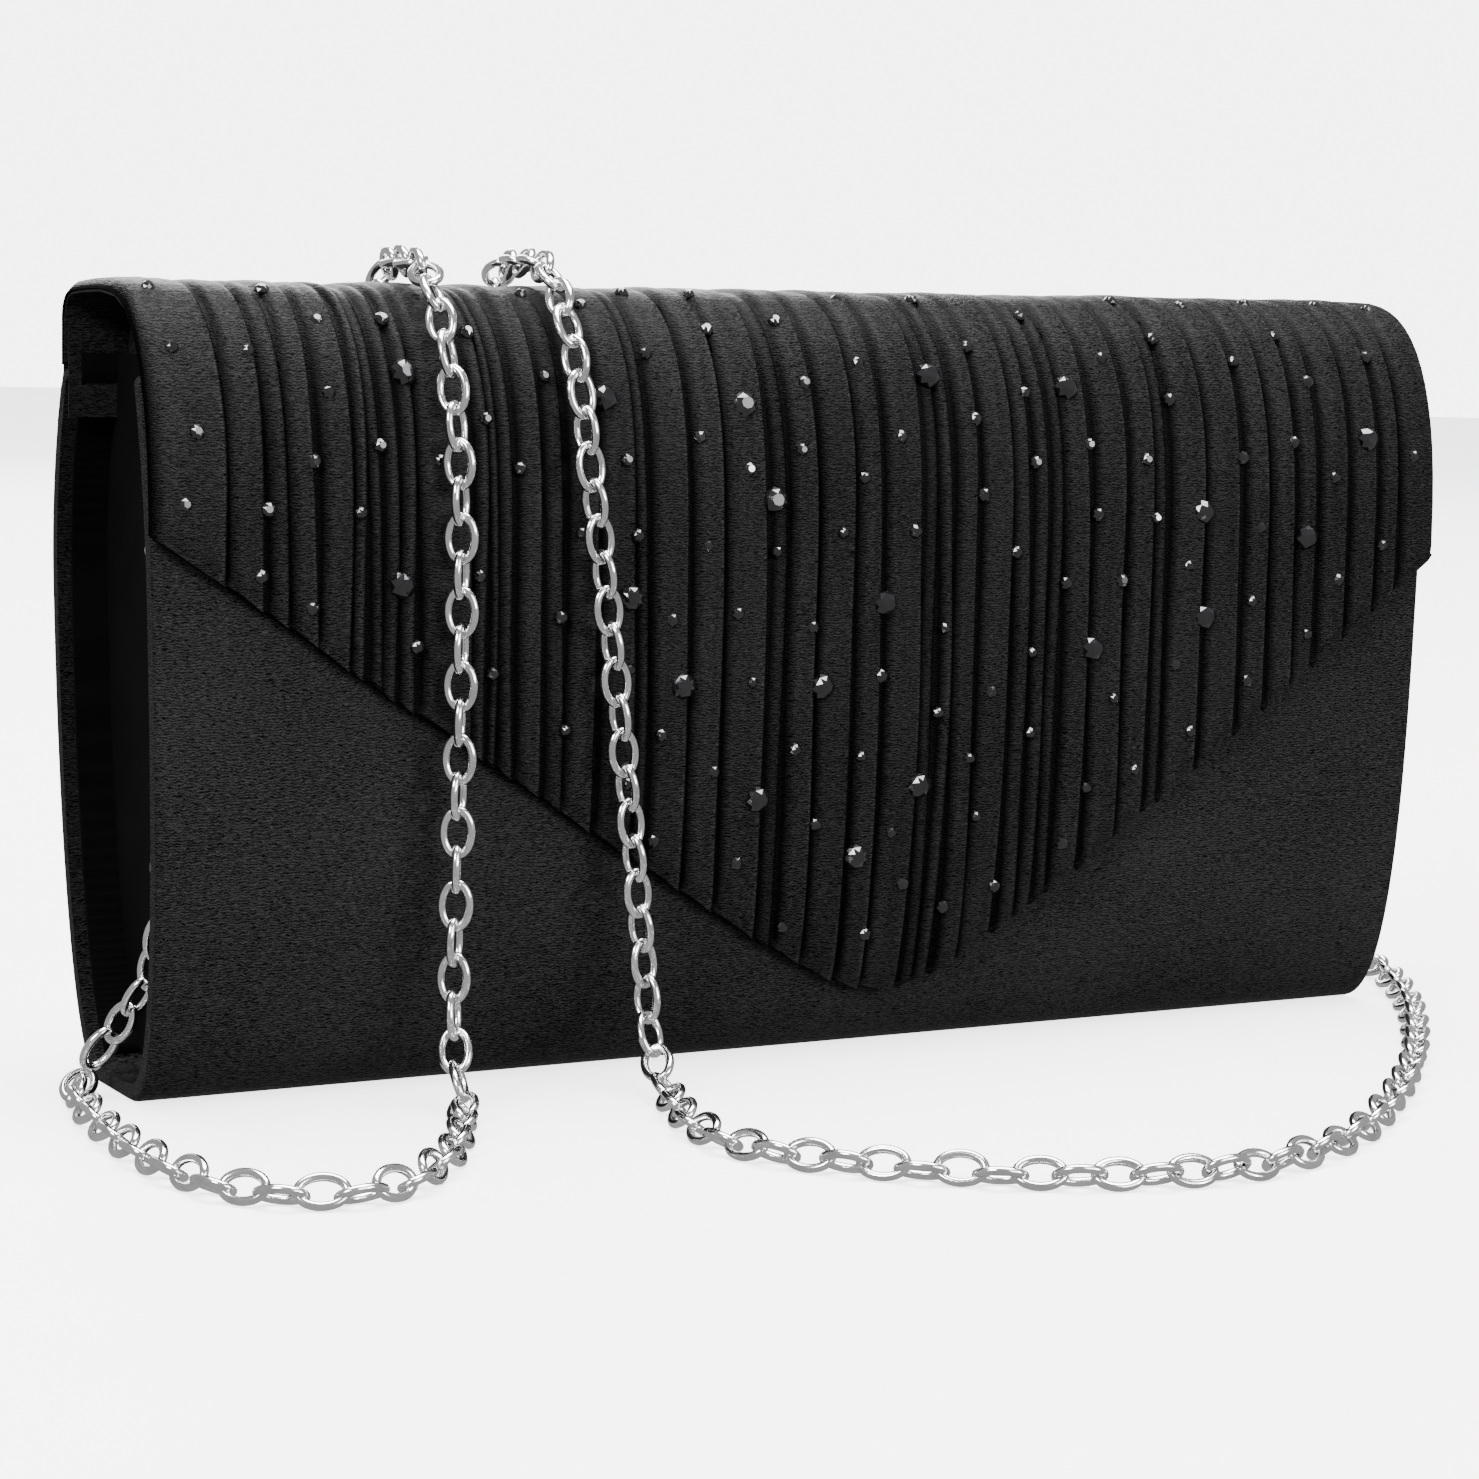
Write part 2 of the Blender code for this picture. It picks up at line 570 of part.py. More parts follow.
def build_clasp(word, x, metal, dark_metal):
    """A lobster clasp: a hook body, a sprung gate on a pin, and an eye below it."""
    cy, cz = HOOK_CENTRE
    half = HOOK_THICKNESS / 2

    def placed(points):
        return [(cy + u, cz + w) for u, w in points]

    outer = arc((0, 0), HOOK_OUTER_R, 14, 200, 14)
    base = [
        (-3.0, -4.4), (-1.7, -7.4), (-1.5, -9.6), (1.5, -9.6), (1.8, -7.4), (3.2, -4.9),
        (3.3, -3.4), (1.8, -2.9),
    ]
    inner = arc((0, 0), HOOK_INNER_R, -75, -346, 18)
    body = prism(f"clasp_body_{word}", placed(outer + base + inner), x - half, x + half, metal)
    slot_half = GATE_THICKNESS / 2 + 0.25
    slot = [(0.2, -5.9), (5.0, -5.9), (5.0, -1.0), (0.2, -2.0)]
    cut(body, prism(f"clasp_slot_{word}", placed(slot), x - slot_half, x + slot_half, metal))
    pin_u, pin_w = 2.2, -4.1
    bore = arc((pin_u, pin_w), PIN_BORE_R, 0, 330, 11)
    cut(body, prism(f"clasp_bore_{word}", placed(bore), x - 3.0, x + 3.0, metal))
    stem_bore = arc((0.0, 0.0), 0.75, 0, 330, 11)
    bm = bmesh.new()
    add_loops(bm, [[(x + a, cy + b, z) for a, b in stem_bore] for z in (cz - 11.0, cz - 8.2)])
    cut(body, mesh_object(f"clasp_stem_bore_{word}", bm, metal))

    gate_r_in, gate_r_out = HOOK_INNER_R + 0.1, HOOK_OUTER_R - 0.1
    gate = arc((0, 0), gate_r_out, 8, -50, 5)
    gate += arc((pin_u, pin_w), 1.0, 10, -190, 8)
    gate += arc((0, 0), gate_r_in, -62, 8, 6)
    gate_origin = (x, cy + pin_u, cz + pin_w)
    lever = prism(f"clasp_gate_{word}", placed(gate), x - GATE_THICKNESS / 2,
                  x + GATE_THICKNESS / 2, dark_metal, gate_origin)
    cut(lever, prism(f"gate_bore_{word}", placed(bore), x - 3.0, x + 3.0, metal))
    pin = arc((pin_u, pin_w), PIN_R, 0, 330, 11)
    prism(f"clasp_pin_{word}", placed(pin), x - half + 0.05, x + half - 0.05, metal)


def build_eye(word, x, metal):
    """The clasp's swivel eye: a ring with a stem that turns in the clasp's base."""
    cy, cz = HOOK_CENTRE
    place = Matrix.Translation((x, cy, EYE_Z)) @ Matrix.Rotation(math.pi / 2, 4, "X")
    profile = arc((EYE_R, 0.0), LINK_WIRE_R, 0, 315, 7)
    eye = turned(f"clasp_eye_{word}", profile, 16, place, metal, (x, cy, EYE_Z), ring=True)
    stem_place = Matrix.Translation((x, cy, 0.0))
    stem = turned(
        f"clasp_stem_{word}", ((0.6, EYE_Z + EYE_R - 0.2), (0.6, cz - 8.6)), 12, stem_place, metal
    )
    fuse(eye, stem)


def build_jump_ring(word, x, metal):
    cy = HOOK_CENTRE[0]
    place = Matrix.Translation((x, cy, JUMP_Z)) @ Matrix.Rotation(math.pi / 2, 4, "Y")
    profile = arc((JUMP_R, 0.0), LINK_WIRE_R, 0, 315, 7)
    turned(f"jump_ring_{word}", profile, 16, place, metal, ring=True)


# ---- chain ----

def smooth_route(route, count):
    """Points along a smooth curve through the route, closer where it bends (Catmull-Rom)."""
    points = [Vector(point) for point in route]
    points = [points[0] * 2 - points[1]] + points + [points[-1] * 2 - points[-2]]
    fine = [points[1]]
    for p0, p1, p2, p3 in zip(points, points[1:], points[2:], points[3:]):
        t1 = (p1 - p0).length ** 0.5
        t2 = t1 + (p2 - p1).length ** 0.5
        t3 = t2 + (p3 - p2).length ** 0.5
        for k in range(1, 17):
            t = t1 + (t2 - t1) * k / 16
            a1 = p0 * ((t1 - t) / t1) + p1 * (t / t1)
            a2 = p1 * ((t2 - t) / (t2 - t1)) + p2 * ((t - t1) / (t2 - t1))
            a3 = p2 * ((t3 - t) / (t3 - t2)) + p3 * ((t - t2) / (t3 - t2))
            b1 = a1 * ((t2 - t) / t2) + a2 * (t / t2)
            b2 = a2 * ((t3 - t) / (t3 - t1)) + a3 * ((t - t1) / (t3 - t1))
            fine.append(b1 * ((t2 - t) / (t2 - t1)) + b2 * ((t - t1) / (t2 - t1)))
    shares = [0.0]
    for k in range(1, len(fine)):
        step = fine[k] - fine[k - 1]
        bend = step.angle(fine[k + 1] - fine[k], 0.0) if k + 1 < len(fine) else 0.0
        shares.append(shares[-1] + step.length + CHAIN_BEND_WEIGHT * bend)
    result = [fine[0]]
    for k in range(1, len(fine)):
        while len(result) < count - 1 and shares[k] >= shares[-1] * len(result) / (count - 1):
            share = shares[-1] * len(result) / (count - 1)
            part = (share - shares[k - 1]) / (shares[k] - shares[k - 1])
            result.append(fine[k - 1].lerp(fine[k], part))
    return result + [fine[-1]]


def main():
    clear_scene()
    satin = make_material("black_satin", (0.012, 0.012, 0.013), 0.42)
    pleated = make_material("pleated_satin", (0.014, 0.014, 0.015), 0.38)
    gusset_cloth = make_material("gusset_cloth", (0.006, 0.006, 0.006), 0.85)
    lining = make_material("lining_satin", (0.016, 0.016, 0.018), 0.5)
    board = make_material("grey_board", (0.33, 0.31, 0.28), 0.8)
    silver = make_material("silver_plate", (0.83, 0.83, 0.84), 0.18, 1.0)
    steel = make_material("steel_pin", (0.6, 0.6, 0.62), 0.3, 1.0)
    magnet = make_material("magnet", (0.2, 0.2, 0.21), 0.4, 1.0)
    stone = make_material("jet_stone", (0.01, 0.01, 0.011), 0.06)

    body = build_body(satin, board, lining)
    build_slip_pocket(lining)
    for side, word in ((-1, "left"), (1, "right")):
        build_gusset(f"gusset_{word}", side, gusset_cloth)
        build_gusset_lining(f"gusset_lining_{word}", side, lining)
        x = side * HARDWARE_X
        build_ring_and_tab(word, x, silver, lining)
        build_clasp(word, x, silver, steel)
        build_eye(word, x, silver)
        build_jump_ring(word, x, silver)

    path = Path(flap_line())
    flap = {
        "flap_cover": build_flap_layer("flap_cover", path, FLAP_LAYERS["cover"], 0.0, pleated),
        "flap_board": build_flap_layer("flap_board", path, FLAP_LAYERS["board"], 1.6, board),
        "flap_lining": build_flap_layer("flap_lining", path, FLAP_LAYERS["lining"], 0.4, lining),
    }
    build_stones(path, stone)
    build_snap(path, body, flap, steel, magnet)

    route = smooth_route(CHAIN_ROUTE, CHAIN_POINTS)
    tube("chain_strap", route, CHAIN_R, silver)


main()
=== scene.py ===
"""Evening bag: the looks of a black satin clutch with a pleated flap, jet stones and a chain strap.

Lengths are in millimetres and are turned into metres where a mesh is made. X runs along the bag's
width, -Y is the front and +Z is up. Depths (y) are measured from the body's middle plane, which lies
MID_Y behind the origin, as they are in the CAD model.
"""

import math
import random

import bmesh
import bpy
from mathutils import Matrix, Vector, noise


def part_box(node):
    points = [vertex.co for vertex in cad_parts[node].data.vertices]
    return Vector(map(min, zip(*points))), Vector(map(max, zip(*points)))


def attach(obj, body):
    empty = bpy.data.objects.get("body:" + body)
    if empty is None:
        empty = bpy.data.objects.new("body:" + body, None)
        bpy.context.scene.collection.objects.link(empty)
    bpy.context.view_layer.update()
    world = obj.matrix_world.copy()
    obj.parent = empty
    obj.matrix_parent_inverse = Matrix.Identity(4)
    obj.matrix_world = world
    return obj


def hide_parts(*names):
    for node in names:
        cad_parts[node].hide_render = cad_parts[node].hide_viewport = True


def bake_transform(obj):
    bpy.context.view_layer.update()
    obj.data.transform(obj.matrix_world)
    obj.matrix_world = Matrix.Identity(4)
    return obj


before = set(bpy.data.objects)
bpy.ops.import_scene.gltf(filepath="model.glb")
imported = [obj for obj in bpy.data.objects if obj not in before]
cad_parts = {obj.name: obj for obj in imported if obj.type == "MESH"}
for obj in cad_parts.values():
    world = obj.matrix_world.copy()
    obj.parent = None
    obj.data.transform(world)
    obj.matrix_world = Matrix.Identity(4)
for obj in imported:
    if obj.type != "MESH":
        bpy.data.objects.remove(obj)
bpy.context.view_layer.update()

MM = 0.001
MID_Y = 2.25

# Camera
CAMERA_PLACE = (-324.5, -585.5, 136.2)
CAMERA_YAW = 28.45
CAMERA_PITCH = -7.04
CAMERA_ROLL = 1.22
CAMERA_LENS = 92.33

# Stage
FLOOR_GLOW = 2.8
WALL_GLOW = 5.0
WALL_R = 3.4
WALL_HEIGHT = 5.0

SKY_STRENGTH = 0.42
# name, place, where it points, size (metres) and power (watts)
LIGHTS = (
    ("key", (-1.3, -0.75, 1.1), (0, 0, 0.06), (0.6, 0.6), 34),
    ("front_right", (0.7, -1.5, 0.45), (0, 0, 0.07), (0.3, 0.25), 8),
    ("fill", (0.5, -1.6, 0.7), (0, 0, 0.05), (1.4, 0.9), 26),
    ("top", (0.1, 0.1, 1.7), (0, 0, 0.0), (1.6, 1.2), 110),
    ("back", (0.5, 1.6, 0.8), (0, 0, 0.06), (1.0, 0.8), 22),
)

# Body panels
WIDTH = 250.0
BASE_NARROWING = 2.6
DEPTH = 50.0
BASE_DEPTH = 14.0
WIDE_Z = 82.0
PANEL_TOP_Z = 118.0
HULL_POWER = {-1: 3.0, 1: 2.2}
TOP_LEAN = {-1: 4.2, 1: 7.5}
COVER_DEPTH = 2.88
COVER_ROUND = 0.9
SEAM_HALF = 0.15
SATIN_PUFF = 0.12
SNAP_DRAW_R = 6.5
SATIN_SPECULAR = 0.03

# Gussets
GUSSET_FACE_X = 116.5
GUSSET_EDGE_X = 122.6
GUSSET_SKIN = 0.8
GUSSET_INSET = 2.9
GUSSET_LOW_Z = 4.3
GUSSET_TOP_Z = 120.6
EAR_TOP_Z = 128.6
EAR_FRONT_Y = (-13.4, -7.0)  # at the ear's foot and at its top
EAR_BACK_Y = (12.2, 5.5)
LINING_THICKNESS = 0.7

# Flap
FLAP_WIDTH = 250.8
FLAP_BACK_Y = 17.8
FLAP_START_Z = 118.6
FLAP_CORNER_R = 6.0
FLAP_CORNER_Z = 126.4
FLAP_CROWN_Y = -2.0
FLAP_DROP_Z = 88.0
FLAP_POWER = 2.6
FLAP_THICKNESS = 2.2
FLAP_CLEARANCE = 0.6
CROWN_Z = 133.0
FLAP_LEFT_Z = 93.0
FLAP_RIGHT_Z = 85.5
FLAP_TIP_X = 11.0
FLAP_POINT_Z = 2.5
FLAP_TIP_ROUND = 8.5
RIM_DEPTH = 1.7
RIM_INSET = 1.3
HINGE_Y = 17.35
HINGE_IN_Y = 14.9
HINGE_BOTTOM_Z = 117.4
HINGE_TOP_Z = 124.5
HINGE_THICKNESS = 0.35
HINGE_LINING_Z = 110.0

# Where one pleat's folded edge lies over the next, from left to right
PLEAT_FOLDS = (
    -113, -106.5, -102.5, -97.5, -91.5, -89, -86.5, -83.5, -80.5, -71, -68, -66, -63, -58, -54,
    -48, -41, -38.5, -31, -24.5, -16, -12.5, -6.5, 1, 6.5, 14.5, 17.5, 20.5, 25.5, 32.5, 36.5,
    40, 43, 49, 56.5, 62.5, 65.5, 73.5, 81.5, 87.5, 93.5, 98.5, 105.5, 112, 117,
)
PLEAT_TOP = 0.25
FLAP_ROWS = 110
PLEAT_RELIEF = 1.3
PLEAT_WANDER = 0.8

# The large stones' places, across the width and up from the floor
LARGE_STONES = (
    (-81.5, 119), (-46, 115), (-20, 114), (17, 119), (45, 117), (110, 108), (-15, 98),
    (73, 95), (96, 90), (-83, 85), (-42, 82), (7, 80), (74, 76), (50, 71), (-32, 67),
    (-5, 66), (15, 48), (-17, 47), (3, 36),
)
LARGE_STONE_R = 2.3
SMALL_STONE_R = 1.2
SMALL_STONE_COUNT = 118
LARGE_STONE_HEIGHT = 1.75
SMALL_STONE_HEIGHT = 1.05
STONE_SINK = 0.35
STONE_SIDES = 8
STONE_SPACING = (14.0, 7.0)  # the first try, and the closest
STONE_MARGIN = 5.0

# Chain
LINK_LENGTH = 8.8
LINK_WIDTH = 6.0
LINK_WIRE = 1.42
LINK_PITCH = LINK_LENGTH - 2 * LINK_WIRE
CHAIN_ROUTE = (
    # left clasp, down the gusset's recess and out onto the floor
    (-120.2, -15.8, 84.6), (-120.2, -16.6, 66), (-120.1, -16.8, 50), (-120.1, -16.0, 36),
    (-120.4, -13.6, 25), (-121.8, -8.8, 16), (-125.0, -4.0, 8.8), (-129.2, -4.4, 4.2),
    # left loop on the floor, to the foot of the left strand
    (-132.2, -12, 3.1), (-134.4, -27, 3.1), (-136, -47, 3.1), (-135, -66, 3.1),
    (-130.2, -80, 3.1), (-120, -88, 3.1), (-108.5, -87, 3.1), (-96, -75.5, 3.1),
    (-85.5, -58.5, 3.1), (-78.8, -44, 3.6), (-76.2, -35.2, 8.6),
    # left strand, up the front and over the crown
    (-75.2, -31.8, 18), (-74.8, -31.3, 32), (-74.4, -31.2, 60), (-74.4, -31.2, 86),
    (-74.8, -30.8, 104), (-75.2, -28.8, 116), (-75.3, -24.9, 125.6), (-74.9, -19.4, 131.8),
    (-73.6, -12.2, 135.6), (-71.8, -3, 136.7), (-69.8, 6.5, 136.6), (-68.2, 14.2, 136.2),
    (-67.2, 20.4, 134.0), (-67, 22.8, 127.6),
    # the loop behind the back panel
    (-67.2, 22.9, 118), (-67.8, 25.4, 107), (-68.4, 27.9, 95), (-68.8, 28.6, 82),
    (-69, 28.7, 62), (-69, 28.7, 42), (-67.6, 28.7, 27.5), (-63.4, 28.7, 19.4),
    (-57, 28.7, 16.6), (-50.6, 28.7, 19.4), (-46.4, 28.7, 27.5), (-45, 28.7, 42),
    (-45, 28.7, 62), (-45, 28.6, 82), (-44.8, 27.9, 95), (-44.6, 25.4, 107),
    (-44.6, 22.9, 118),
    # right strand, over the crown and down the front
    (-44.8, 22.8, 127.6), (-45.2, 20.4, 134.0), (-46.2, 14.2, 136.2), (-47.8, 6.5, 136.7),
    (-49.6, -3, 136.8), (-51.2, -12.2, 135.8), (-52.4, -19.4, 132.0), (-52.8, -24.9, 125.6),
    (-52.4, -28.8, 116), (-51.5, -30.8, 104),
    (-48.8, -31.2, 86), (-45.2, -31.2, 60), (-41.6, -31.3, 32), (-40.2, -31.8, 18),
    (-40.6, -35.2, 8.6), (-42.6, -44.5, 3.6),
    # right loop on the floor, round the right end
    (-47.2, -58, 3.1), (-50.4, -73, 3.1), (-48, -88, 3.1), (-39.4, -101, 3.1),
    (-28, -112, 3.1), (-14, -121, 3.1), (0, -126, 3.1), (15, -127, 3.1),
    (30, -123, 3.1), (46, -114, 3.1), (64, -99, 3.1), (87, -75.5, 3.1),
    (109, -48.5, 3.1), (129, -19, 3.1), (141, 6.2, 3.1), (140.8, 18.4, 3.1),
    (134.4, 19.4, 3.6), (128.4, 10.0, 6.4),
    # up the right gusset's recess to the right clasp
    (123.8, 1.6, 12.4), (120.8, -6.0, 21), (120.1, -13.2, 33), (120.1, -16.6, 50),
    (120.2, -16.6, 66), (120.2, -15.8, 84.6),
)
RECESS_SETTLE = 0.7  # how far the hanging links settle against the gusset's cloth
RECESS_FORWARD = 1.2  # and how far towards the front panel
RECESS_LEAN = 17  # the links' turn about the chain, in degrees
LOOSE_LEAN = 40
HUNG_LEAN = 10
FLOOR_RUN_Z = 7.0  # below this height a link lies on the floor
RECESS_X = 112  # outside this place a link hangs in a gusset's recess
LEFT_STRAND_X = (-90, -72)

TWO = ("left", "right")


def to_world(point):
    """A point in millimetres, with y from the middle plane, in the frame's metres."""
    return Vector((point[0], point[1] + MID_Y, point[2])) * MM


def lerp(a, b, t):
    return a + (b - a) * t


def smooth_step(t):
    t = min(max(t, 0.0), 1.0)
    return t * t * (3 - 2 * t)


# ---- materials ----

class Nodes:
    """Short names for building a material's nodes."""

    def __init__(self, name):
        self.material = bpy.data.materials.new(name)
        self.material.use_nodes = True
        self.tree = self.material.node_tree
        self.shader = self.tree.nodes["Principled BSDF"]
        self.place = self.node("ShaderNodeTexCoord").outputs["Object"]

    def node(self, kind, **settings):
        node = self.tree.nodes.new(kind)
        for key, value in settings.items():
            if key in node.inputs:
                node.inputs[key].default_value = value
            else:
                setattr(node, key, value)
        return node

    def link(self, source, target):
        self.tree.links.new(source, target)

    def mapped(self, scale):
        node = self.node("ShaderNodeMapping", Scale=scale)
        self.link(self.place, node.inputs["Vector"])
        return node.outputs["Vector"]

    def noise(self, vector, scale, detail=3.0, roughness=0.55, distortion=0.0):
        node = self.node("ShaderNodeTexNoise", Scale=scale, Detail=detail, Roughness=roughness,
                         Distortion=distortion)
        self.link(vector, node.inputs["Vector"])
        return node.outputs["Fac"]

    def wave(self, vector, scale, direction, distortion=0.0, detail=2.0, detail_scale=1.0):
        node = self.node("ShaderNodeTexWave", wave_type="BANDS", bands_direction=direction,
                         Scale=scale, Distortion=distortion, Detail=detail)
        node.inputs["Detail Scale"].default_value = detail_scale
        self.link(vector, node.inputs["Vector"])
        return node.outputs["Fac"]

    def math(self, operation, first, second):
        node = self.node("ShaderNodeMath", operation=operation)
        for socket, value in zip(node.inputs, (first, second)):
            if isinstance(value, (int, float)):
                socket.default_value = value
            else:
                self.link(value, socket)
        return node.outputs[0]

    def ramp(self, source, stops):
        node = self.node("ShaderNodeValToRGB")
        elements = node.color_ramp.elements
        while len(elements) < len(stops):
            elements.new(0.5)
        for element, (place, value) in zip(elements, stops):
            element.position = place
            element.color = (*value, 1.0) if isinstance(value, tuple) else (value,) * 3 + (1.0,)
        self.link(source, node.inputs["Fac"])
        return node.outputs["Color"]

    def bump(self, height, strength, distance):
        node = self.node("ShaderNodeBump", Strength=strength, Distance=distance)
        self.link(height, node.inputs["Height"])
        return node.outputs["Normal"]

    def set(self, **values):
        for key, value in values.items():
            self.shader.inputs[key.replace("_", " ")].default_value = value


def satin_material(name, dark, light, roughness, weave_strength, painted_fold_shade=False):
    """Satin with a fine crinkled weave; in pleats, painted shade darkens the cloth in the folds and a
    painted highlight lightens each folded edge.
    """
    n = Nodes(name)
    threads = n.wave(n.mapped((1, 1, 1)), 700.0, "Z", 9.0, 3.0, 1.6)
    crinkle = n.noise(n.mapped((1100, 1100, 2700)), 1.0, 3.0, 0.6, 0.4)
    grain = n.noise(n.mapped((1, 1, 1)), 2600.0, 2.0, 0.6)
    weave = n.math("ADD", n.math("MULTIPLY", threads, 0.35), crinkle)
    weave = n.math("ADD", weave, n.math("MULTIPLY", grain, 0.35))
    drift = n.noise(n.mapped((1, 1, 1)), 26.0, 4.0, 0.5)
    n.link(n.bump(weave, weave_strength, 0.00016), n.shader.inputs["Normal"])
    tone = n.math("ADD", n.math("MULTIPLY", weave, 0.55), n.math("MULTIPLY", drift, 0.16))
    colour = n.ramp(tone, ((0.42, dark), (0.72, light)))
    if painted_fold_shade:
        # painted shade and highlight: the 'fold' attribute darkens the colour in the pleats' valleys and
        # lightens it along each folded edge
        fold = n.node("ShaderNodeAttribute", attribute_name="fold").outputs["Fac"]
        mix = n.node("ShaderNodeMix", data_type="RGBA", blend_type="MULTIPLY")
        mix.inputs["Factor"].default_value = 1.0
        n.link(colour, mix.inputs["A"])
        n.link(n.ramp(fold, ((0.2, 0.02), (0.9, 0.72), (1.0, 1.0))), mix.inputs["B"])
        colour = mix.outputs["Result"]
    n.link(colour, n.shader.inputs["Base Color"])
    n.link(n.ramp(drift, ((0.3, roughness - 0.05), (0.7, roughness + 0.06))),
           n.shader.inputs["Roughness"])
    n.set(Specular_IOR_Level=SATIN_SPECULAR)
    return n.material


def cloth_material(name, dark, light, weave_scale=900.0):
    """Matt plain-weave cloth."""
    n = Nodes(name)
    warp = n.wave(n.mapped((1, 1, 1)), weave_scale, "Y", 1.2, 2.0, 2.0)
    weft = n.wave(n.mapped((1, 1, 1)), weave_scale, "Z", 1.2, 2.0, 2.0)
    weave = n.math("MAXIMUM", warp, weft)
    drift = n.noise(n.mapped((1, 1, 1)), 55.0, 5.0, 0.6)
    n.link(n.bump(weave, 0.5, 0.00012), n.shader.inputs["Normal"])
    tone = n.math("ADD", n.math("MULTIPLY", weave, 0.3), n.math("MULTIPLY", drift, 0.7))
    n.link(n.ramp(tone, ((0.25, dark), (0.8, light))), n.shader.inputs["Base Color"])
    n.link(n.ramp(drift, ((0.3, 0.82), (0.7, 0.95))), n.shader.inputs["Roughness"])
    n.set(Sheen_Weight=0.0, Specular_IOR_Level=0.05)
    return n.material


def metal_material(name, colour, worn, roughness, scratch=0.02):
    """Plated metal with faint hand marks and a little dullness in patches."""
    n = Nodes(name)
    patches = n.noise(n.mapped((1, 1, 1)), 240.0, 4.0, 0.6)
    marks = n.noise(n.mapped((900, 900, 260)), 1.0, 3.0, 0.6, 0.8)
    n.link(n.ramp(patches, ((0.35, worn), (0.6, colour))), n.shader.inputs["Base Color"])
    rough = n.math("ADD", n.math("MULTIPLY", patches, 0.16), roughness - 0.06)
    n.link(rough, n.shader.inputs["Roughness"])
    n.link(n.bump(marks, scratch * 5, 0.00004), n.shader.inputs["Normal"])
    n.set(Metallic=1.0)
    return n.material


def stone_material(name):
    """Jet: black glass, nearly a mirror, with a faint cloud inside it."""
    n = Nodes(name)
    cloud = n.noise(n.mapped((1, 1, 1)), 500.0, 3.0, 0.5)
    n.link(n.ramp(cloud, ((0.3, (0.002, 0.002, 0.003)), (0.7, (0.006, 0.006, 0.007)))),
           n.shader.inputs["Base Color"])
    n.link(n.ramp(cloud, ((0.2, 0.04), (0.8, 0.1))), n.shader.inputs["Roughness"])
    n.set(IOR=1.7, Specular_IOR_Level=0.45, Coat_Weight=0.25, Coat_Roughness=0.04, Coat_IOR=1.6)
    return n.material


def board_material(name):
    n = Nodes(name)
    fibre = n.noise(n.mapped((300, 300, 900)), 1.0, 5.0, 0.65, 0.5)
    n.link(n.ramp(fibre, ((0.3, (0.25, 0.235, 0.21)), (0.75, (0.4, 0.38, 0.34)))),
           n.shader.inputs["Base Color"])
    n.link(n.bump(fibre, 0.4, 0.0001), n.shader.inputs["Normal"])
    n.set(Roughness=0.85)
    return n.material


def floor_material(name):
    n = Nodes(name)
    grain = n.noise(n.mapped((1, 1, 1)), 40.0, 3.0, 0.5)
    n.link(n.ramp(grain, ((0.3, 0.86), (0.7, 0.9))), n.shader.inputs["Base Color"])
    n.set(Roughness=0.55, Specular_IOR_Level=0.25, Emission_Color=(1, 1, 1, 1))
    n.set(Emission_Strength=FLOOR_GLOW)
    n.material.cycles.emission_sampling = "NONE"
    return n.material


# ---- pieces ----

def add_piece(name, mesh, material, body, replaces=()):
    obj = bpy.data.objects.new(name, mesh)
    mesh.materials.append(material)
    bpy.context.scene.collection.objects.link(obj)
    if body:
        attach(obj, body)
    if replaces:
        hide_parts(*replaces)
    return obj


def mesh_from(name, points, faces, smooth=True, sharp_angle=None):
    mesh = bpy.data.meshes.new(name)
    mesh.from_pydata([tuple(to_world(p)) for p in points], [], faces)
    mesh.validate()
    if smooth:
        mesh.shade_smooth()
    if sharp_angle is not None:
        mesh.set_sharp_from_angle(angle=math.radians(sharp_angle))
    return mesh


def grid_faces(rows, columns, start=0, wrap=False):
    """Quads over a grid whose points are stored row by row."""
    faces = []
    span = columns if wrap else columns - 1
    for r in range(rows - 1):
        for c in range(span):
            a = start + r * columns + c
            b = start + r * columns + (c + 1) % columns
            faces.append((a, b, b + columns, a + columns))
    return faces


def closed_tube(rings):
    """The points and faces of a skin over stacked rings, closed at both ends."""
    size = len(rings[0])
    points = [point for ring in rings for point in ring]
    faces = grid_faces(len(rings), size, wrap=True)
    return points, faces + [tuple(range(size)), tuple(range(len(points) - size, len(points)))]


# ---- chain ----

def smooth_route(route, steps):
    """Points along a smooth curve through the route (centripetal Catmull-Rom)."""
    points = [Vector(point) for point in route]
    points = [points[0] * 2 - points[1]] + points + [points[-1] * 2 - points[-2]]
    fine = [points[1]]
    for p0, p1, p2, p3 in zip(points, points[1:], points[2:], points[3:]):
        t1 = (p1 - p0).length ** 0.5
        t2 = t1 + (p2 - p1).length ** 0.5
        t3 = t2 + (p3 - p2).length ** 0.5
        for k in range(1, steps + 1):
            t = t1 + (t2 - t1) * k / steps
            a1 = p0 * ((t1 - t) / t1) + p1 * (t / t1)
            a2 = p1 * ((t2 - t) / (t2 - t1)) + p2 * ((t - t1) / (t2 - t1))
            a3 = p2 * ((t3 - t) / (t3 - t2)) + p3 * ((t - t2) / (t3 - t2))
            b1 = a1 * ((t2 - t) / t2) + a2 * (t / t2)
            b2 = a2 * ((t3 - t) / (t3 - t1)) + a3 * ((t - t1) / (t3 - t1))
            fine.append(b1 * ((t2 - t) / (t2 - t1)) + b2 * ((t - t1) / (t2 - t1)))
    return fine


class Track:
    """Points at given lengths along a line."""

    def __init__(self, points):
        self.points = [Vector(point) for point in points]
        self.lengths = [0.0]
        for first, second in zip(self.points, self.points[1:]):
            self.lengths.append(self.lengths[-1] + (second - first).length)
        self.total = self.lengths[-1]

    def at(self, length):
        low, high = 1, len(self.lengths) - 1
        while low < high:
            middle = (low + high) // 2
            if self.lengths[middle] < length:
                low = middle + 1
            else:
                high = middle
        span = self.lengths[low] - self.lengths[low - 1]
        part = (length - self.lengths[low - 1]) / span
        return self.points[low - 1].lerp(self.points[low], part)


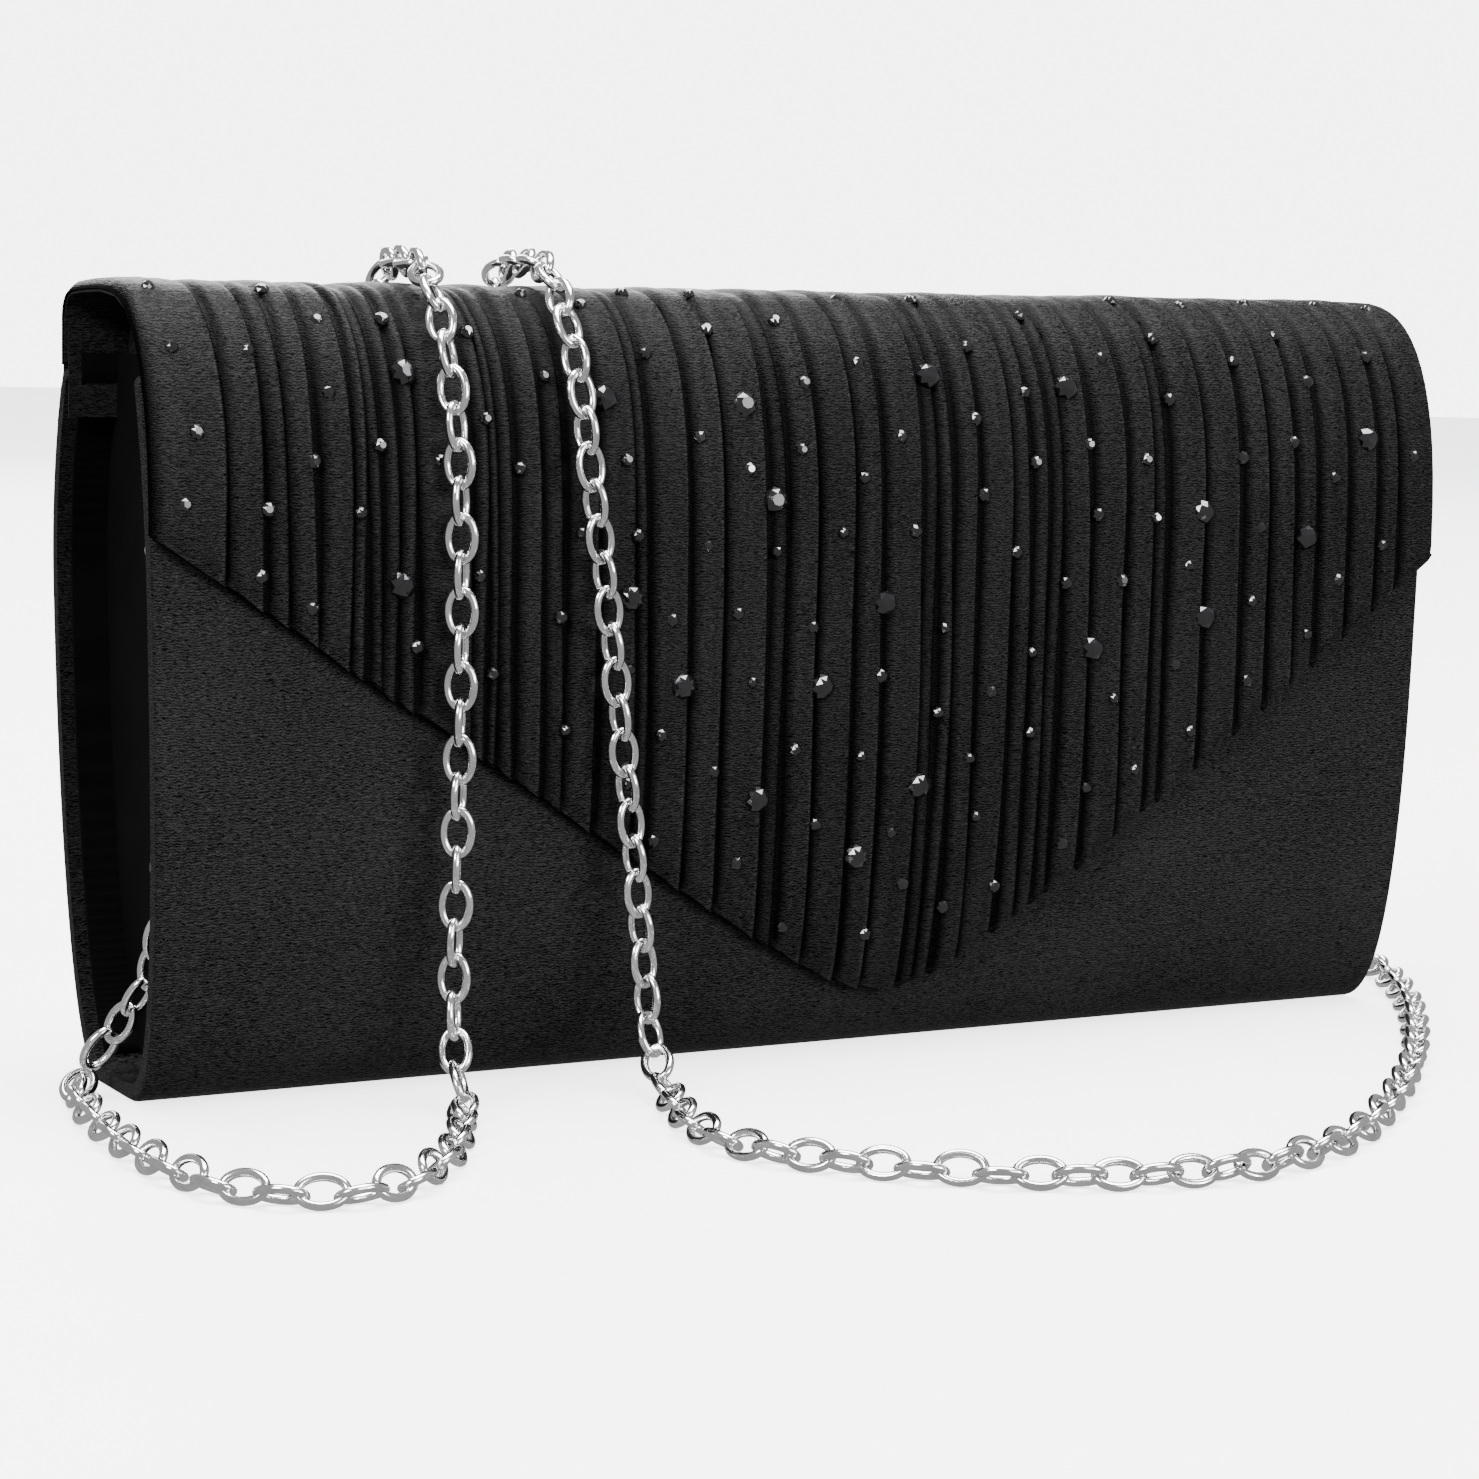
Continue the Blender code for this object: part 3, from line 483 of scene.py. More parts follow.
def away_from_support(point):
    """The direction out of what the chain lies on at a point."""
    if point.z < FLOOR_RUN_Z:
        return Vector((0, 0, 1))
    if abs(point.x) > RECESS_X:
        return Vector((point.x, 0, 0)).normalized()
    if point.z > 112:
        # over the crown, the way out turns from level to straight up
        return Vector((0, point.y / 28, (point.z - 108) / 26)).normalized()
    return Vector((0, math.copysign(1, point.y), 0))


def link_loop(segments=28, sides=10):
    """One oval link in its own frame: X along the chain, Y across, as rings of points."""
    long = (LINK_LENGTH - LINK_WIRE) / 2
    wide = (LINK_WIDTH - LINK_WIRE) / 2
    rings = []
    for k in range(segments):
        angle = 2 * math.pi * k / segments
        centre = Vector((long * math.cos(angle), wide * math.sin(angle), 0))
        out = Vector((wide * math.cos(angle), long * math.sin(angle), 0)).normalized()
        ring = []
        for j in range(sides):
            turn = 2 * math.pi * j / sides
            ring.append(centre + (out * math.cos(turn) + Vector((0, 0, 1)) * math.sin(turn))
                        * LINK_WIRE / 2)
        rings.append(ring)
    return rings


def link_centre(centre, out, in_recess):
    """Where a hanging link in a gusset's recess settles: against the cloth and to the front."""
    if not in_recess:
        return centre
    centre = centre - out * RECESS_SETTLE * smooth_step((centre.z - 12) / 12)
    hanging = smooth_step((centre.z - 24) / 12) * smooth_step((82 - centre.z) / 8)
    return centre - Vector((0, RECESS_FORWARD * hanging, 0))


def build_chain(material):
    """The strap: oval links along the route, each turned a quarter from the last."""
    track = Track(smooth_route(CHAIN_ROUTE, 12))
    count = round(track.total / LINK_PITCH)
    pitch = track.total / count
    loop = link_loop()
    segments, sides = len(loop), len(loop[0])
    rng = random.Random(11)
    hints = [away_from_support(track.at((k + 0.5) * pitch)) for k in range(count)]
    points, faces = [], []
    sway = 0.0
    for k in range(count):
        centre = track.at((k + 0.5) * pitch)
        ahead = track.at(min((k + 0.9) * pitch, track.total))
        behind = track.at(max((k + 0.1) * pitch, 0.0))
        along = (ahead - behind).normalized()
        hint = Vector((0, 0, 0))
        for j in range(max(0, k - 2), min(count, k + 3)):
            hint += hints[j]
        out = (hint - along * hint.dot(along)).normalized()
        on_floor = centre.z < FLOOR_RUN_Z
        sway = 0.8 * sway + rng.uniform(-6, 6)
        in_recess = abs(centre.x) > RECESS_X and not on_floor
        on_left_strand = LEFT_STRAND_X[0] < centre.x < LEFT_STRAND_X[1] and centre.y < -15
        centre = link_centre(centre, out, in_recess)
        lean = RECESS_LEAN
        if not in_recess:
            lean = (LOOSE_LEAN if on_floor or on_left_strand else HUNG_LEAN) + sway
        turn = math.radians(lean + (90 if k % 2 else 0) + rng.uniform(-4, 4))
        side = along.cross(out)
        across = side * math.cos(turn) + out * math.sin(turn)
        normal = along.cross(across)
        if on_floor:
            rise = abs(across.z) * (LINK_WIDTH - LINK_WIRE) / 2 + LINK_WIRE / 2 + 0.1
            z = lerp(rise, centre.z, smooth_step((centre.z - 3.2) / 3))
            centre = Vector((centre.x, centre.y, z))
        tip = rng.uniform(0.0, 0.02) if on_floor else rng.uniform(-0.03, 0.03)
        along = (along + out * tip).normalized()
        base = len(points)
        link = [centre + along * p.x + across * p.y + normal * p.z for ring in loop for p in ring]
        lift = max(0.0, 0.1 - min(p.z for p in link))
        points.extend(p + Vector((0, 0, lift)) for p in link)
        for r in range(segments):
            for j in range(sides):
                a = base + r * sides + j
                b = base + r * sides + (j + 1) % sides
                c = base + ((r + 1) % segments) * sides + (j + 1) % sides
                d = base + ((r + 1) % segments) * sides + j
                faces.append((a, b, c, d))
    mesh = mesh_from("chain_links", points, faces)
    chain = add_piece("chain_links", mesh, material, "bag", ("chain_strap",))
    route = [tuple(to_world(track.at(track.total * k / 420))) for k in range(421)]
    return chain, route, track.total * MM


# ---- body ----

def offset_line(points, distance):
    moved = []
    for k, point in enumerate(points):
        before = Vector(points[max(k - 1, 0)])
        after = Vector(points[min(k + 1, len(points) - 1)])
        along = (after - before).normalized()
        moved.append(tuple(Vector(point) + Vector((-along.y, along.x)) * distance))
    return moved


def hull_point(side, angle):
    power = 2.0 / HULL_POWER[side]
    half_base = BASE_DEPTH / 2
    across = half_base + (DEPTH / 2 - half_base) * max(math.cos(angle), 0.0) ** power
    return side * across, WIDE_Z * (1 - math.sin(angle) ** power)


def lean_point(side, z):
    share = (z - WIDE_Z) / (PANEL_TOP_Z - WIDE_Z)
    return side * (DEPTH / 2 - TOP_LEAN[side] * share**2), z


def panel_line(side, hull_steps=18):
    """A panel's outer surface, from its top edge down and under, to the seam in the middle."""
    line = [lean_point(side, PANEL_TOP_Z - 3.0 * k) for k in range(12)] + [(side * DEPTH / 2, WIDE_Z)]
    line += [hull_point(side, math.radians(90 * k / hull_steps)) for k in range(1, hull_steps + 1)]
    return line + [(side * y, 0.0) for y in (5.0, 3.0, 1.2, SEAM_HALF)]


def depth_at(side, depth, z):
    """The y of a panel's surface at a depth below its outer face, at height z."""
    line = offset_line(panel_line(side), -side * depth)
    if z >= line[0][1]:
        return line[0][0]
    for (y0, z0), (y1, z1) in zip(line, line[1:]):
        if z1 <= z <= z0:
            return y0 + (y1 - y0) * (z0 - z) / (z0 - z1)
    return line[-1][0]


def narrowed(x, z):
    """The place across the width of a body point: the sides draw in evenly towards the base."""
    return x * (1 - (1 - z / PANEL_TOP_Z) * BASE_NARROWING / (WIDTH / 2))


def cover_stations():
    """Places across the width, closer at the ends, with how far in the rounded end stands."""
    half = WIDTH / 2
    ends = [(-half + COVER_ROUND * (1 - math.sin(math.radians(15 * k))),
             COVER_ROUND * (1 - math.cos(math.radians(15 * k)))) for k in range(7)]
    ends.reverse()
    inner = [(x, 0.0) for x in range(-122, 123, 2)]
    return ends + inner + [(-x, e) for x, e in reversed(ends)]


def build_cover(word, side, material):
    """A satin cover over its board, with soft edges and a slightly uneven, hand-stretched face."""
    line = panel_line(side, hull_steps=26)
    normals = offset_line(line, -side)
    stations = cover_stations()
    low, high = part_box("snap_socket")
    snap_x, snap_z = (low[0] + high[0]) / 2 / MM, (low[2] + high[2]) / 2 / MM
    points = []
    for x, inset in stations:
        outer = []
        for (y, z), (ny, nz) in zip(line, normals):
            swell = noise.noise(Vector((x / 38, z / 24, 3.0 * side))) * 0.3
            swell += noise.noise(Vector((x / 9, z / 14, 7.0 * side))) * 0.1
            edge = smooth_step((WIDTH / 2 - abs(x)) / 9) * smooth_step((PANEL_TOP_Z - z) / 9)
            floor = smooth_step((z - 0.5) / 10)
            out = (SATIN_PUFF + swell * edge * 0.8) * floor - inset
            if side < 0:
                # the cloth is drawn in under the snap
                near = 1 - smooth_step((math.hypot(x - snap_x, z - snap_z) - SNAP_DRAW_R) / 6)
                out = lerp(out, -0.3, near)
            outer.append((y - (ny - y) * out, max(z - (nz - z) * out, 0.0)))
        inner = offset_line(line, -side * COVER_DEPTH)
        inner = [(y, max(z, COVER_DEPTH - 0.1) if z < 20 else min(z, PANEL_TOP_Z - 0.9 - inset))
                 for y, z in inner]
        top_y, top_z = outer[0][0], outer[0][1] - inset
        outer[0] = (top_y, top_z - 0.9)
        rounded = []
        for k in range(1, 6):
            angle = math.radians(180 * k / 6)
            middle = (top_y + inner[0][0]) / 2
            half = (inner[0][0] - top_y) / 2
            rounded.append((middle - half * math.cos(angle), top_z - 0.9 + 0.9 * math.sin(angle)))
        whole = outer + list(reversed(inner)) + list(reversed(rounded))
        points.extend((narrowed(x, min(max(z, 0.0), PANEL_TOP_Z)), y, z) for y, z in whole)
    size = 2 * len(line) + 5
    faces = grid_faces(len(stations), size, wrap=True)
    # each end is closed by a strip of quads between the outer and the inner line
    for start in (0, len(points) - size):
        for k in range(len(line) - 1):
            mate = 2 * len(line) - 1 - k
            faces.append((start + k, start + k + 1, start + mate - 1, start + mate))
        top = [start + 2 * len(line) - 1, *(start + 2 * len(line) + k for k in range(5)), start]
        faces.append(tuple(top))
    mesh = mesh_from(word + "_satin", points, faces, sharp_angle=50)
    fix_normals(mesh)
    add_piece(word + "_satin", mesh, material, "bag", (word + "_cover",))


def fix_normals(mesh):
    bm = bmesh.new()
    bm.from_mesh(mesh)
    bmesh.ops.recalc_face_normals(bm, faces=bm.faces)
    bm.to_mesh(mesh)
    bm.free()


def build_gusset(word, side, material):
    """A side wall of soft cloth, which sinks between its two flanges, with a turned hem."""
    heights = [GUSSET_LOW_Z + 1.5 * k for k in range(int((GUSSET_TOP_Z - GUSSET_LOW_Z) / 1.5) + 1)]
    heights.append(GUSSET_TOP_Z)
    across = 26
    points = []
    for z in heights:
        front = depth_at(-1, GUSSET_INSET, z)
        back = depth_at(1, GUSSET_INSET, z)
        low, high = front + GUSSET_SKIN, back - GUSSET_SKIN
        flange = [GUSSET_EDGE_X - (GUSSET_EDGE_X - GUSSET_FACE_X) * k / 5 for k in range(5)]
        middle = []
        for k in range(across + 1):
            share = k / across
            y = lerp(low, high, share)
            sink = math.sin(math.pi * share) ** 0.7
            fold = noise.noise(Vector((y / 13, z / 42, side * 5.0))) * 0.55
            ripple = noise.noise(Vector((y / 4.5, z / 17, side * 9.0))) * 0.16
            crease = 0.25 * math.exp(-((share - 0.5) / 0.07) ** 2) * smooth_step((z - 12) / 30)
            middle.append((GUSSET_FACE_X + (fold + ripple + 0.25 - crease) * sink, y))
        ring = [(x, low) for x in flange] + middle + [(x, high) for x in reversed(flange)]
        ring += [(GUSSET_EDGE_X, back), (GUSSET_FACE_X - GUSSET_SKIN + 0.1, back),
                 (GUSSET_FACE_X - GUSSET_SKIN + 0.1, front), (GUSSET_EDGE_X, front)]
        points.append([(side * narrowed(x, z), y, z) for x, y in ring])
    mesh = mesh_from(f"gusset_cloth_{word}", *closed_tube(points), sharp_angle=60)
    fix_normals(mesh)
    add_piece(f"gusset_cloth_{word}", mesh, material, "bag", (f"gusset_{word}",))


def build_ear(word, side, material):
    """The satin side lining, with its soft ear standing up inside the flap's curl."""
    heights = [GUSSET_LOW_Z + 0.4 + 3.4 * k for k in range(34)]
    heights = [z for z in heights if z < PANEL_TOP_Z] + [PANEL_TOP_Z]
    x_out = GUSSET_FACE_X - GUSSET_SKIN - 0.25
    x_in = x_out - LINING_THICKNESS
    across = 22
    rings = []
    for z in heights:
        front = depth_at(-1, GUSSET_INSET + 0.3, z)
        back = depth_at(1, GUSSET_INSET + 0.3, z)
        rings.append((front, back, z, 0.0))
    for k in range(1, 12):
        share = k / 11
        z = lerp(PANEL_TOP_Z, EAR_TOP_Z, math.sin(share * math.pi / 2))
        shrink = 1 - math.cos(share * math.pi / 2) ** 0.62
        front = lerp(*EAR_FRONT_Y, shrink)
        back = lerp(*EAR_BACK_Y, shrink)
        rings.append((front, back, z, 0.55 * math.sin(min(share * 1.4, 1.0) * math.pi) + 0.25))
    points = []
    for front, back, z, puff in rings:
        ring = []
        for k in range(across + 1):
            share = k / across
            y = lerp(front, back, share)
            bulge = puff * math.sin(math.pi * share) ** 0.6
            wrinkle = noise.noise(Vector((y / 5, z / 9, side * 3.0))) * 0.12
            if z <= PANEL_TOP_Z:
                wrinkle, bulge = wrinkle * 0.5, 0.0
            ring.append((side * (x_out + bulge + min(wrinkle, 0.0)), y, z))
        for k in range(across, -1, -1):
            share = k / across
            y = lerp(front, back, share)
            bulge = puff * math.sin(math.pi * share) ** 0.6
            ring.append((side * (x_in - bulge), y, z))
        points.append([(narrowed(x, min(z, PANEL_TOP_Z)), y, z) for x, y, z in ring])
    mesh = mesh_from(f"side_lining_{word}", *closed_tube(points), sharp_angle=65)
    fix_normals(mesh)
    add_piece(f"side_lining_{word}", mesh, material, "bag",
              (f"gusset_lining_{word}",))


# ---- flap ----

def arc(centre, radius, start, end, steps):
    angles = [math.radians(start + (end - start) * k / steps) for k in range(steps + 1)]
    return [(centre[0] + radius * math.cos(a), centre[1] + radius * math.sin(a)) for a in angles]


def flap_line():
    """The flap's outer surface in side view, from the fold at the back to the V's tip."""
    corner_y = FLAP_BACK_Y - FLAP_CORNER_R
    line = [(FLAP_BACK_Y, FLAP_START_Z), (FLAP_BACK_Y, (FLAP_START_Z + FLAP_CORNER_Z) / 2)]
    line += arc((corner_y, FLAP_CORNER_Z), FLAP_CORNER_R, 0, 90, 9)
    rise = CROWN_Z - FLAP_CORNER_Z - FLAP_CORNER_R
    for share in (0.25, 0.5, 0.75):
        y = corner_y + (FLAP_CROWN_Y - corner_y) * share
        line.append((y, CROWN_Z - rise * (1 - share) ** 2))
    front_y = DEPTH / 2 + FLAP_CLEARANCE + FLAP_THICKNESS
    power = 2.0 / FLAP_POWER
    for k in range(16):
        angle = math.radians(90 - 6 * k)
        y = FLAP_CROWN_Y - (front_y + FLAP_CROWN_Y) * max(math.cos(angle), 0.0) ** power
        line.append((y, FLAP_DROP_Z + (CROWN_Z - FLAP_DROP_Z) * math.sin(angle) ** power))
    hull = [hull_point(-1, math.radians(3 * k)) for k in range(27)]
    return line + offset_line(hull, -(FLAP_CLEARANCE + FLAP_THICKNESS))


class FlapPath(Track):
    """Points of the flap's side view, and points above or below it."""

    def __init__(self):
        super().__init__([Vector((y, z)) for y, z in flap_line()])

    def outward(self, length):
        length = min(max(length, 1.2), self.total - 1.2)
        along = (self.at(length + 1.1) - self.at(length - 1.1)).normalized()
        return Vector((along.y, -along.x))

    def above(self, length, height):
        return self.at(length) + self.outward(length) * height

    def length_at_height(self, z):
        for k in range(len(self.points) - 1, 0, -1):
            if self.points[k].y <= z <= self.points[k - 1].y:
                share = (self.points[k - 1].y - z) / (self.points[k - 1].y - self.points[k].y)
                return self.lengths[k - 1] + share * (self.lengths[k] - self.lengths[k - 1])
        return self.total


def flap_edge_height(x):
    if x < FLAP_TIP_X:
        slope = (FLAP_LEFT_Z - FLAP_POINT_Z) / (FLAP_TIP_X + FLAP_WIDTH / 2)
    else:
        slope = (FLAP_RIGHT_Z - FLAP_POINT_Z) / (FLAP_WIDTH / 2 - FLAP_TIP_X)
    return FLAP_POINT_Z + math.hypot(slope * (x - FLAP_TIP_X), FLAP_TIP_ROUND)


def pleat_columns():
    """Columns across the flap: (x, pleat number, share across the pleat)."""
    half = FLAP_WIDTH / 2
    edges = [-half, *PLEAT_FOLDS, half]
    columns = []
    for number, (left, right) in enumerate(zip(edges, edges[1:])):
        width = right - left
        steps = max(6, round(width / 0.6))
        first = 0.3 / width if number else 0.0
        for k in range(steps + 1):
            share = lerp(first, 1.0, k / steps)
            columns.append((left + width * share, number, share))
        if right < half:
            columns.append((right + 0.10, number, 1.1))
            columns.append((right + 0.14, number, 1.2))
    return columns, edges


def pleat_profile(share, width, weight):
    """How high a pleat stands at a share of its width, and the painted light for its cloth: painted
    shade in the valley, a painted highlight along the folded edge.
    """
    if share > 1.05:
        return 0.0, 0.0
    place = share * width
    climb = smooth_step(place / min(2.2, width * 0.55))
    roll = smooth_step((1 - share) * width / 0.55)
    height = climb * (0.86 + 0.14 * math.sin(math.pi * share)) * (0.45 + 0.55 * roll)
    # painted shade: low where the pleat climbs out of the fold, and lower on the narrow sunk pleats
    light = climb * (0.35 + 0.65 * roll) * (0.45 + 0.55 * weight)
    # painted highlight: a bright line just inside the folded edge
    crest = math.exp(-(((1 - share) * width - 0.75) / 0.3) ** 2)
    return height, light + 0.45 * crest * weight


def build_flap(path, material):
    """The pleated satin: knife pleats that each lie over the next, sewn down at the flap's rim, with
    painted shade and highlights for the pleats kept in a 'fold' attribute.
    """
    columns, edges = pleat_columns()
    rng = random.Random(5)
    weights = []
    for left, right in zip(edges, edges[1:]):
        weights.append(rng.uniform(0.85, 1.0) if right - left > 4.6 else rng.uniform(0.4, 0.8))
    half = FLAP_WIDTH / 2
    # painted light for each point, kept in the 'fold' attribute that the pleated satin's colour reads
    grid, lights = [], []
    for x0, number, share in columns:
        width = edges[number + 1] - edges[number]
        profile, light = pleat_profile(share, width, weights[number])
        end = path.length_at_height(flap_edge_height(x0))
        rim = smooth_step((half - abs(x0)) / 7)
        # each pleat's hem hangs a little lower at its folded edge
        if 0 < number < len(edges) - 2:
            end -= 1.1 * (1 - min(share, 1.0)) * (1 if x0 < FLAP_TIP_X else -1) * min(width / 8, 1)
        inner = math.sin(math.pi * min(share, 1.0)) ** 0.5 if 0 < share < 1 else 0.0
        line, painted_shades = [], []
        for r in range(FLAP_ROWS + 1):
            length = end * r / FLAP_ROWS
            wander = noise.noise(Vector((number * 3.7, length / 46, 0.0))) * PLEAT_WANDER
            wander += noise.noise(Vector((0.0, length / 70, 8.0))) * 0.8
            shift = 0.75 + 0.4 * noise.noise(Vector((number * 5.1, length / 38, 20.0)))
            height = PLEAT_RELIEF * weights[number] * profile * min(1.0, shift + 0.15)
            local = Vector((x0 / 2.6 + number * 11.0, length / 30, 2.0))
            soft = noise.noise(local) * 0.2 + noise.noise(local * 2.3) * 0.1
            height += soft * inner * min(1.0, width / 6)
            fade = smooth_step(length / 6) * smooth_step((end - length) / 2.6)
            height = lerp(0.5 * height, height, fade) - PLEAT_RELIEF + PLEAT_TOP
            height -= 0.55 * (1 - min(half - abs(x0), 1.0)) ** 2
            place = path.above(length, height)
            line.append((x0 + wander * rim, place.x, place.y))
            # painted light: the pleat's value, varied with the cloth's soft ripples and lighter near the
            # flap's ends
            painted_shades.append(min(1.2, light * (0.8 + 0.6 * soft) + 0.12 * (1 - fade)))
        grid.append(line)
        lights.append(painted_shades)
    # the cloth turns round the flap's edge and ends under it
    for (x0, _, _), line, painted_shades in zip(columns, grid, lights):
        end = path.length_at_height(flap_edge_height(x0))
        hem = line[-1]
        outward = path.outward(end)
        for step in range(1, 6):
            angle = math.radians(36 * step)
            depth = -0.5 - (RIM_DEPTH - 0.5) * (1 - math.cos(angle)) / 2
            place = path.above(end, depth) + Vector((outward.y, -outward.x)) * 0.75 * math.sin(angle)
            line.append((hem[0], place.x, place.y))
        under = path.above(max(end - RIM_INSET - 1.0, 0.0), -RIM_DEPTH)
        line.append((hem[0], under.x, under.y))
        # painted shade on the cloth turned under the rim
        painted_shades.extend([0.25] * 6)
    size = len(grid[0])
    flat = [point for line in grid for point in line]
    shade = [value for painted_shades in lights for value in painted_shades]
    faces = grid_faces(len(grid), size)
    for first, sign in ((0, -1), (len(grid) - 1, 1)):
        side_rim(path, flat, faces, first * size, sign)
    # the side rims get a middle painted shade
    shade.extend([0.5] * (len(flat) - len(shade)))
    mesh = mesh_from("flap_pleats", flat, faces, sharp_angle=75)
    # the painted light and shade goes into the 'fold' attribute
    fold = mesh.attributes.new("fold", "FLOAT", "POINT")
    fold.data.foreach_set("value", shade)
    fix_normals(mesh)
    add_piece("flap_pleats", mesh, material, "flap", ("flap_cover",))


def side_rim(path, flat, faces, base, sign):
    """The rounded side edge of the flap, from its outer cloth to the lining."""
    half = FLAP_WIDTH / 2
    end = path.length_at_height(flap_edge_height(sign * half))
    top = -PLEAT_RELIEF + PLEAT_TOP - 0.55
    rings = [list(range(base, base + FLAP_ROWS + 1))]
    places = []
    for step in range(1, 6):
        angle = math.radians(36 * step)
        places.append((half + 0.35 * math.sin(angle) - 0.35,
                       top - (RIM_DEPTH + top) * (1 - math.cos(angle)) / 2))
    places.append((half - RIM_INSET - 0.4, -RIM_DEPTH))
    for x, depth in places:
        ring = []
        for r in range(FLAP_ROWS + 1):
            place = path.above(end * r / FLAP_ROWS, depth)
            ring.append(len(flat))
            flat.append((sign * x, place.x, place.y))
        rings.append(ring)
    for a, b in zip(rings, rings[1:]):
        for k in range(FLAP_ROWS):
            faces.append((a[k], a[k + 1], b[k + 1], b[k]))


def build_hinge(path, material, lining):
    """The cloth that joins the flap to the back panel, outside and inside."""
    low = [(y - HINGE_THICKNESS, z) for y, z in reversed(panel_line(1)) if z > 108]
    rows, columns = 26, 120
    half = WIDTH / 2 - 0.25
    for name, line, finish, slot in (
        ("hinge_cloth", low + [(HINGE_Y, HINGE_BOTTOM_Z), (HINGE_Y, HINGE_TOP_Z)], material,
         "pleated_satin"),
        ("hinge_lining", [(HINGE_IN_Y, HINGE_LINING_Z), (HINGE_IN_Y, HINGE_TOP_Z)], lining,
         "lining_satin"),
    ):
        track = Track([Vector((y, z)) for y, z in line])
        points = []
        for layer in (0.0, -HINGE_THICKNESS):
            for r in range(rows + 1):
                place = track.at(track.total * r / rows)
                for c in range(columns + 1):
                    x = lerp(-half, half, c / columns)
                    ripple = noise.noise(Vector((x / 5, place.y / 12, 31.0))) * 0.08
                    points.append((x, place.x + layer + min(ripple, 0.0), place.y))
        row = columns + 1
        other = len(points) // 2
        faces = grid_faces(rows + 1, row) + grid_faces(rows + 1, row, start=other)
        rim = list(range(row)) + [r * row + columns for r in range(1, rows + 1)]
        rim += [rows * row + c for c in range(columns - 1, -1, -1)]
        rim += [r * row for r in range(rows - 1, 0, -1)]
        for a, b in zip(rim, rim[1:] + rim[:1]):
            faces.append((a, b, b + other, a + other))
        mesh = mesh_from(name, points, faces, sharp_angle=60)
        fix_normals(mesh)
        obj = add_piece(name, mesh, finish, None)
        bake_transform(obj)


# ---- stones ----

def stone_rings(radius, height):
    """A rose-cut dome: girdle, two rows of facets turned against each other, and a table."""
    rows = ((1.0, 0.0, 0.0), (1.0, 0.18, 0.0), (0.82, 0.62, 0.5), (0.46, 1.0, 0.0))
    rings = []
    for r, h, turn in rows:
        rings.append([
            Vector((radius * r * math.cos(2 * math.pi * (k + turn) / STONE_SIDES),
                    radius * r * math.sin(2 * math.pi * (k + turn) / STONE_SIDES), height * h))
            for k in range(STONE_SIDES)
        ])
    return rings


def stone_mesh(rings, matrix, points, faces):
    """Add one stone's facets to a mesh's points and faces."""
    base = len(points)
    sides = len(rings[0])
    for ring in rings:
        points.extend(matrix @ p for p in ring)
    for r in range(len(rings) - 1):
        for k in range(sides):
            a = base + r * sides + k
            b = base + r * sides + (k + 1) % sides
            c = a + sides
            d = b + sides
            if r == 0:
                faces.append((a, b, d, c))
            elif r == 1:
                faces.append((a, b, c))
                faces.append((b, d, c))
            else:
                faces.append((a, b, d))
                faces.append((a, d, c))
    faces.append(tuple(base + (len(rings) - 1) * sides + k for k in range(sides)))


def stone_matrix(path, x, z, rng):
    """Where a stone sits: its foot a little in the cloth, leaning a few degrees by chance."""
    length = path.length_at_height(z)
    place = path.above(length, -STONE_SINK)
    out2 = path.outward(length)
    out = Vector((0.0, out2.x, out2.y))
    sideways = Vector((1.0, 0.0, 0.0))
    rotation = Matrix((sideways, out.cross(sideways), out)).transposed().to_4x4()
    tilt = Matrix.Rotation(math.radians(rng.uniform(-7, 7)), 4, "X") @ Matrix.Rotation(
        math.radians(rng.uniform(-7, 7)), 4, "Y")
    spin = Matrix.Rotation(rng.uniform(0, math.pi), 4, "Z")
    return Matrix.Translation((x, place.x, place.y)) @ rotation @ tilt @ spin


def build_stones(path, material):
    rng = random.Random(23)
    for number, (x, z) in enumerate(LARGE_STONES, 1):
        points, faces = [], []
        stone_mesh(stone_rings(LARGE_STONE_R, LARGE_STONE_HEIGHT), stone_matrix(path, x, z, rng),
                   points, faces)
        mesh = mesh_from(f"jet_stone_{number:02d}", points, faces, smooth=False)
        fix_normals(mesh)
        add_piece(f"jet_stone_{number:02d}", mesh, material, "flap",
                  (f"large_stone_{number:02d}",))
    points, faces = [], []
    for x, z in small_stone_places(path):
        radius = SMALL_STONE_R * rng.uniform(0.9, 1.12)
        stone_mesh(stone_rings(radius, SMALL_STONE_HEIGHT), stone_matrix(path, x, z, rng), points, faces)
    mesh = mesh_from("small_stones", points, faces, smooth=False)
    fix_normals(mesh)
    add_piece("small_stones", mesh, material, "flap")


def small_stone_places(path):
    """Scattered places on the flap's front, clear of each other and of the large stones."""
    rng = random.Random(41)
    taken = [(x, path.length_at_height(z)) for x, z in LARGE_STONES]
    places = []
    spacing, closest = STONE_SPACING
    while len(places) < SMALL_STONE_COUNT and spacing > closest:
        for _ in range(900):
            x = rng.uniform(-FLAP_WIDTH / 2 + STONE_MARGIN, FLAP_WIDTH / 2 - STONE_MARGIN)
            end = path.length_at_height(flap_edge_height(x)) - STONE_MARGIN
            crown = path.length_at_height(131.5) - 3.0
            if end <= crown:
                continue
            length = rng.uniform(crown, end)
            clear = all(
                math.hypot(x - a, length - b) > (spacing if n >= len(LARGE_STONES) else spacing * 0.72)
                for n, (a, b) in enumerate(taken)
            )
            if clear:
                taken.append((x, length))
                places.append((x, path.at(length).y))
                if len(places) == SMALL_STONE_COUNT:
                    break
        spacing *= 0.93
    return places


# ---- carried-over CAD nodes ----

def dress(node, material):
    """Give a carried-over CAD node its material."""
    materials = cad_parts[node].data.materials
    materials.clear()
    materials.append(material)


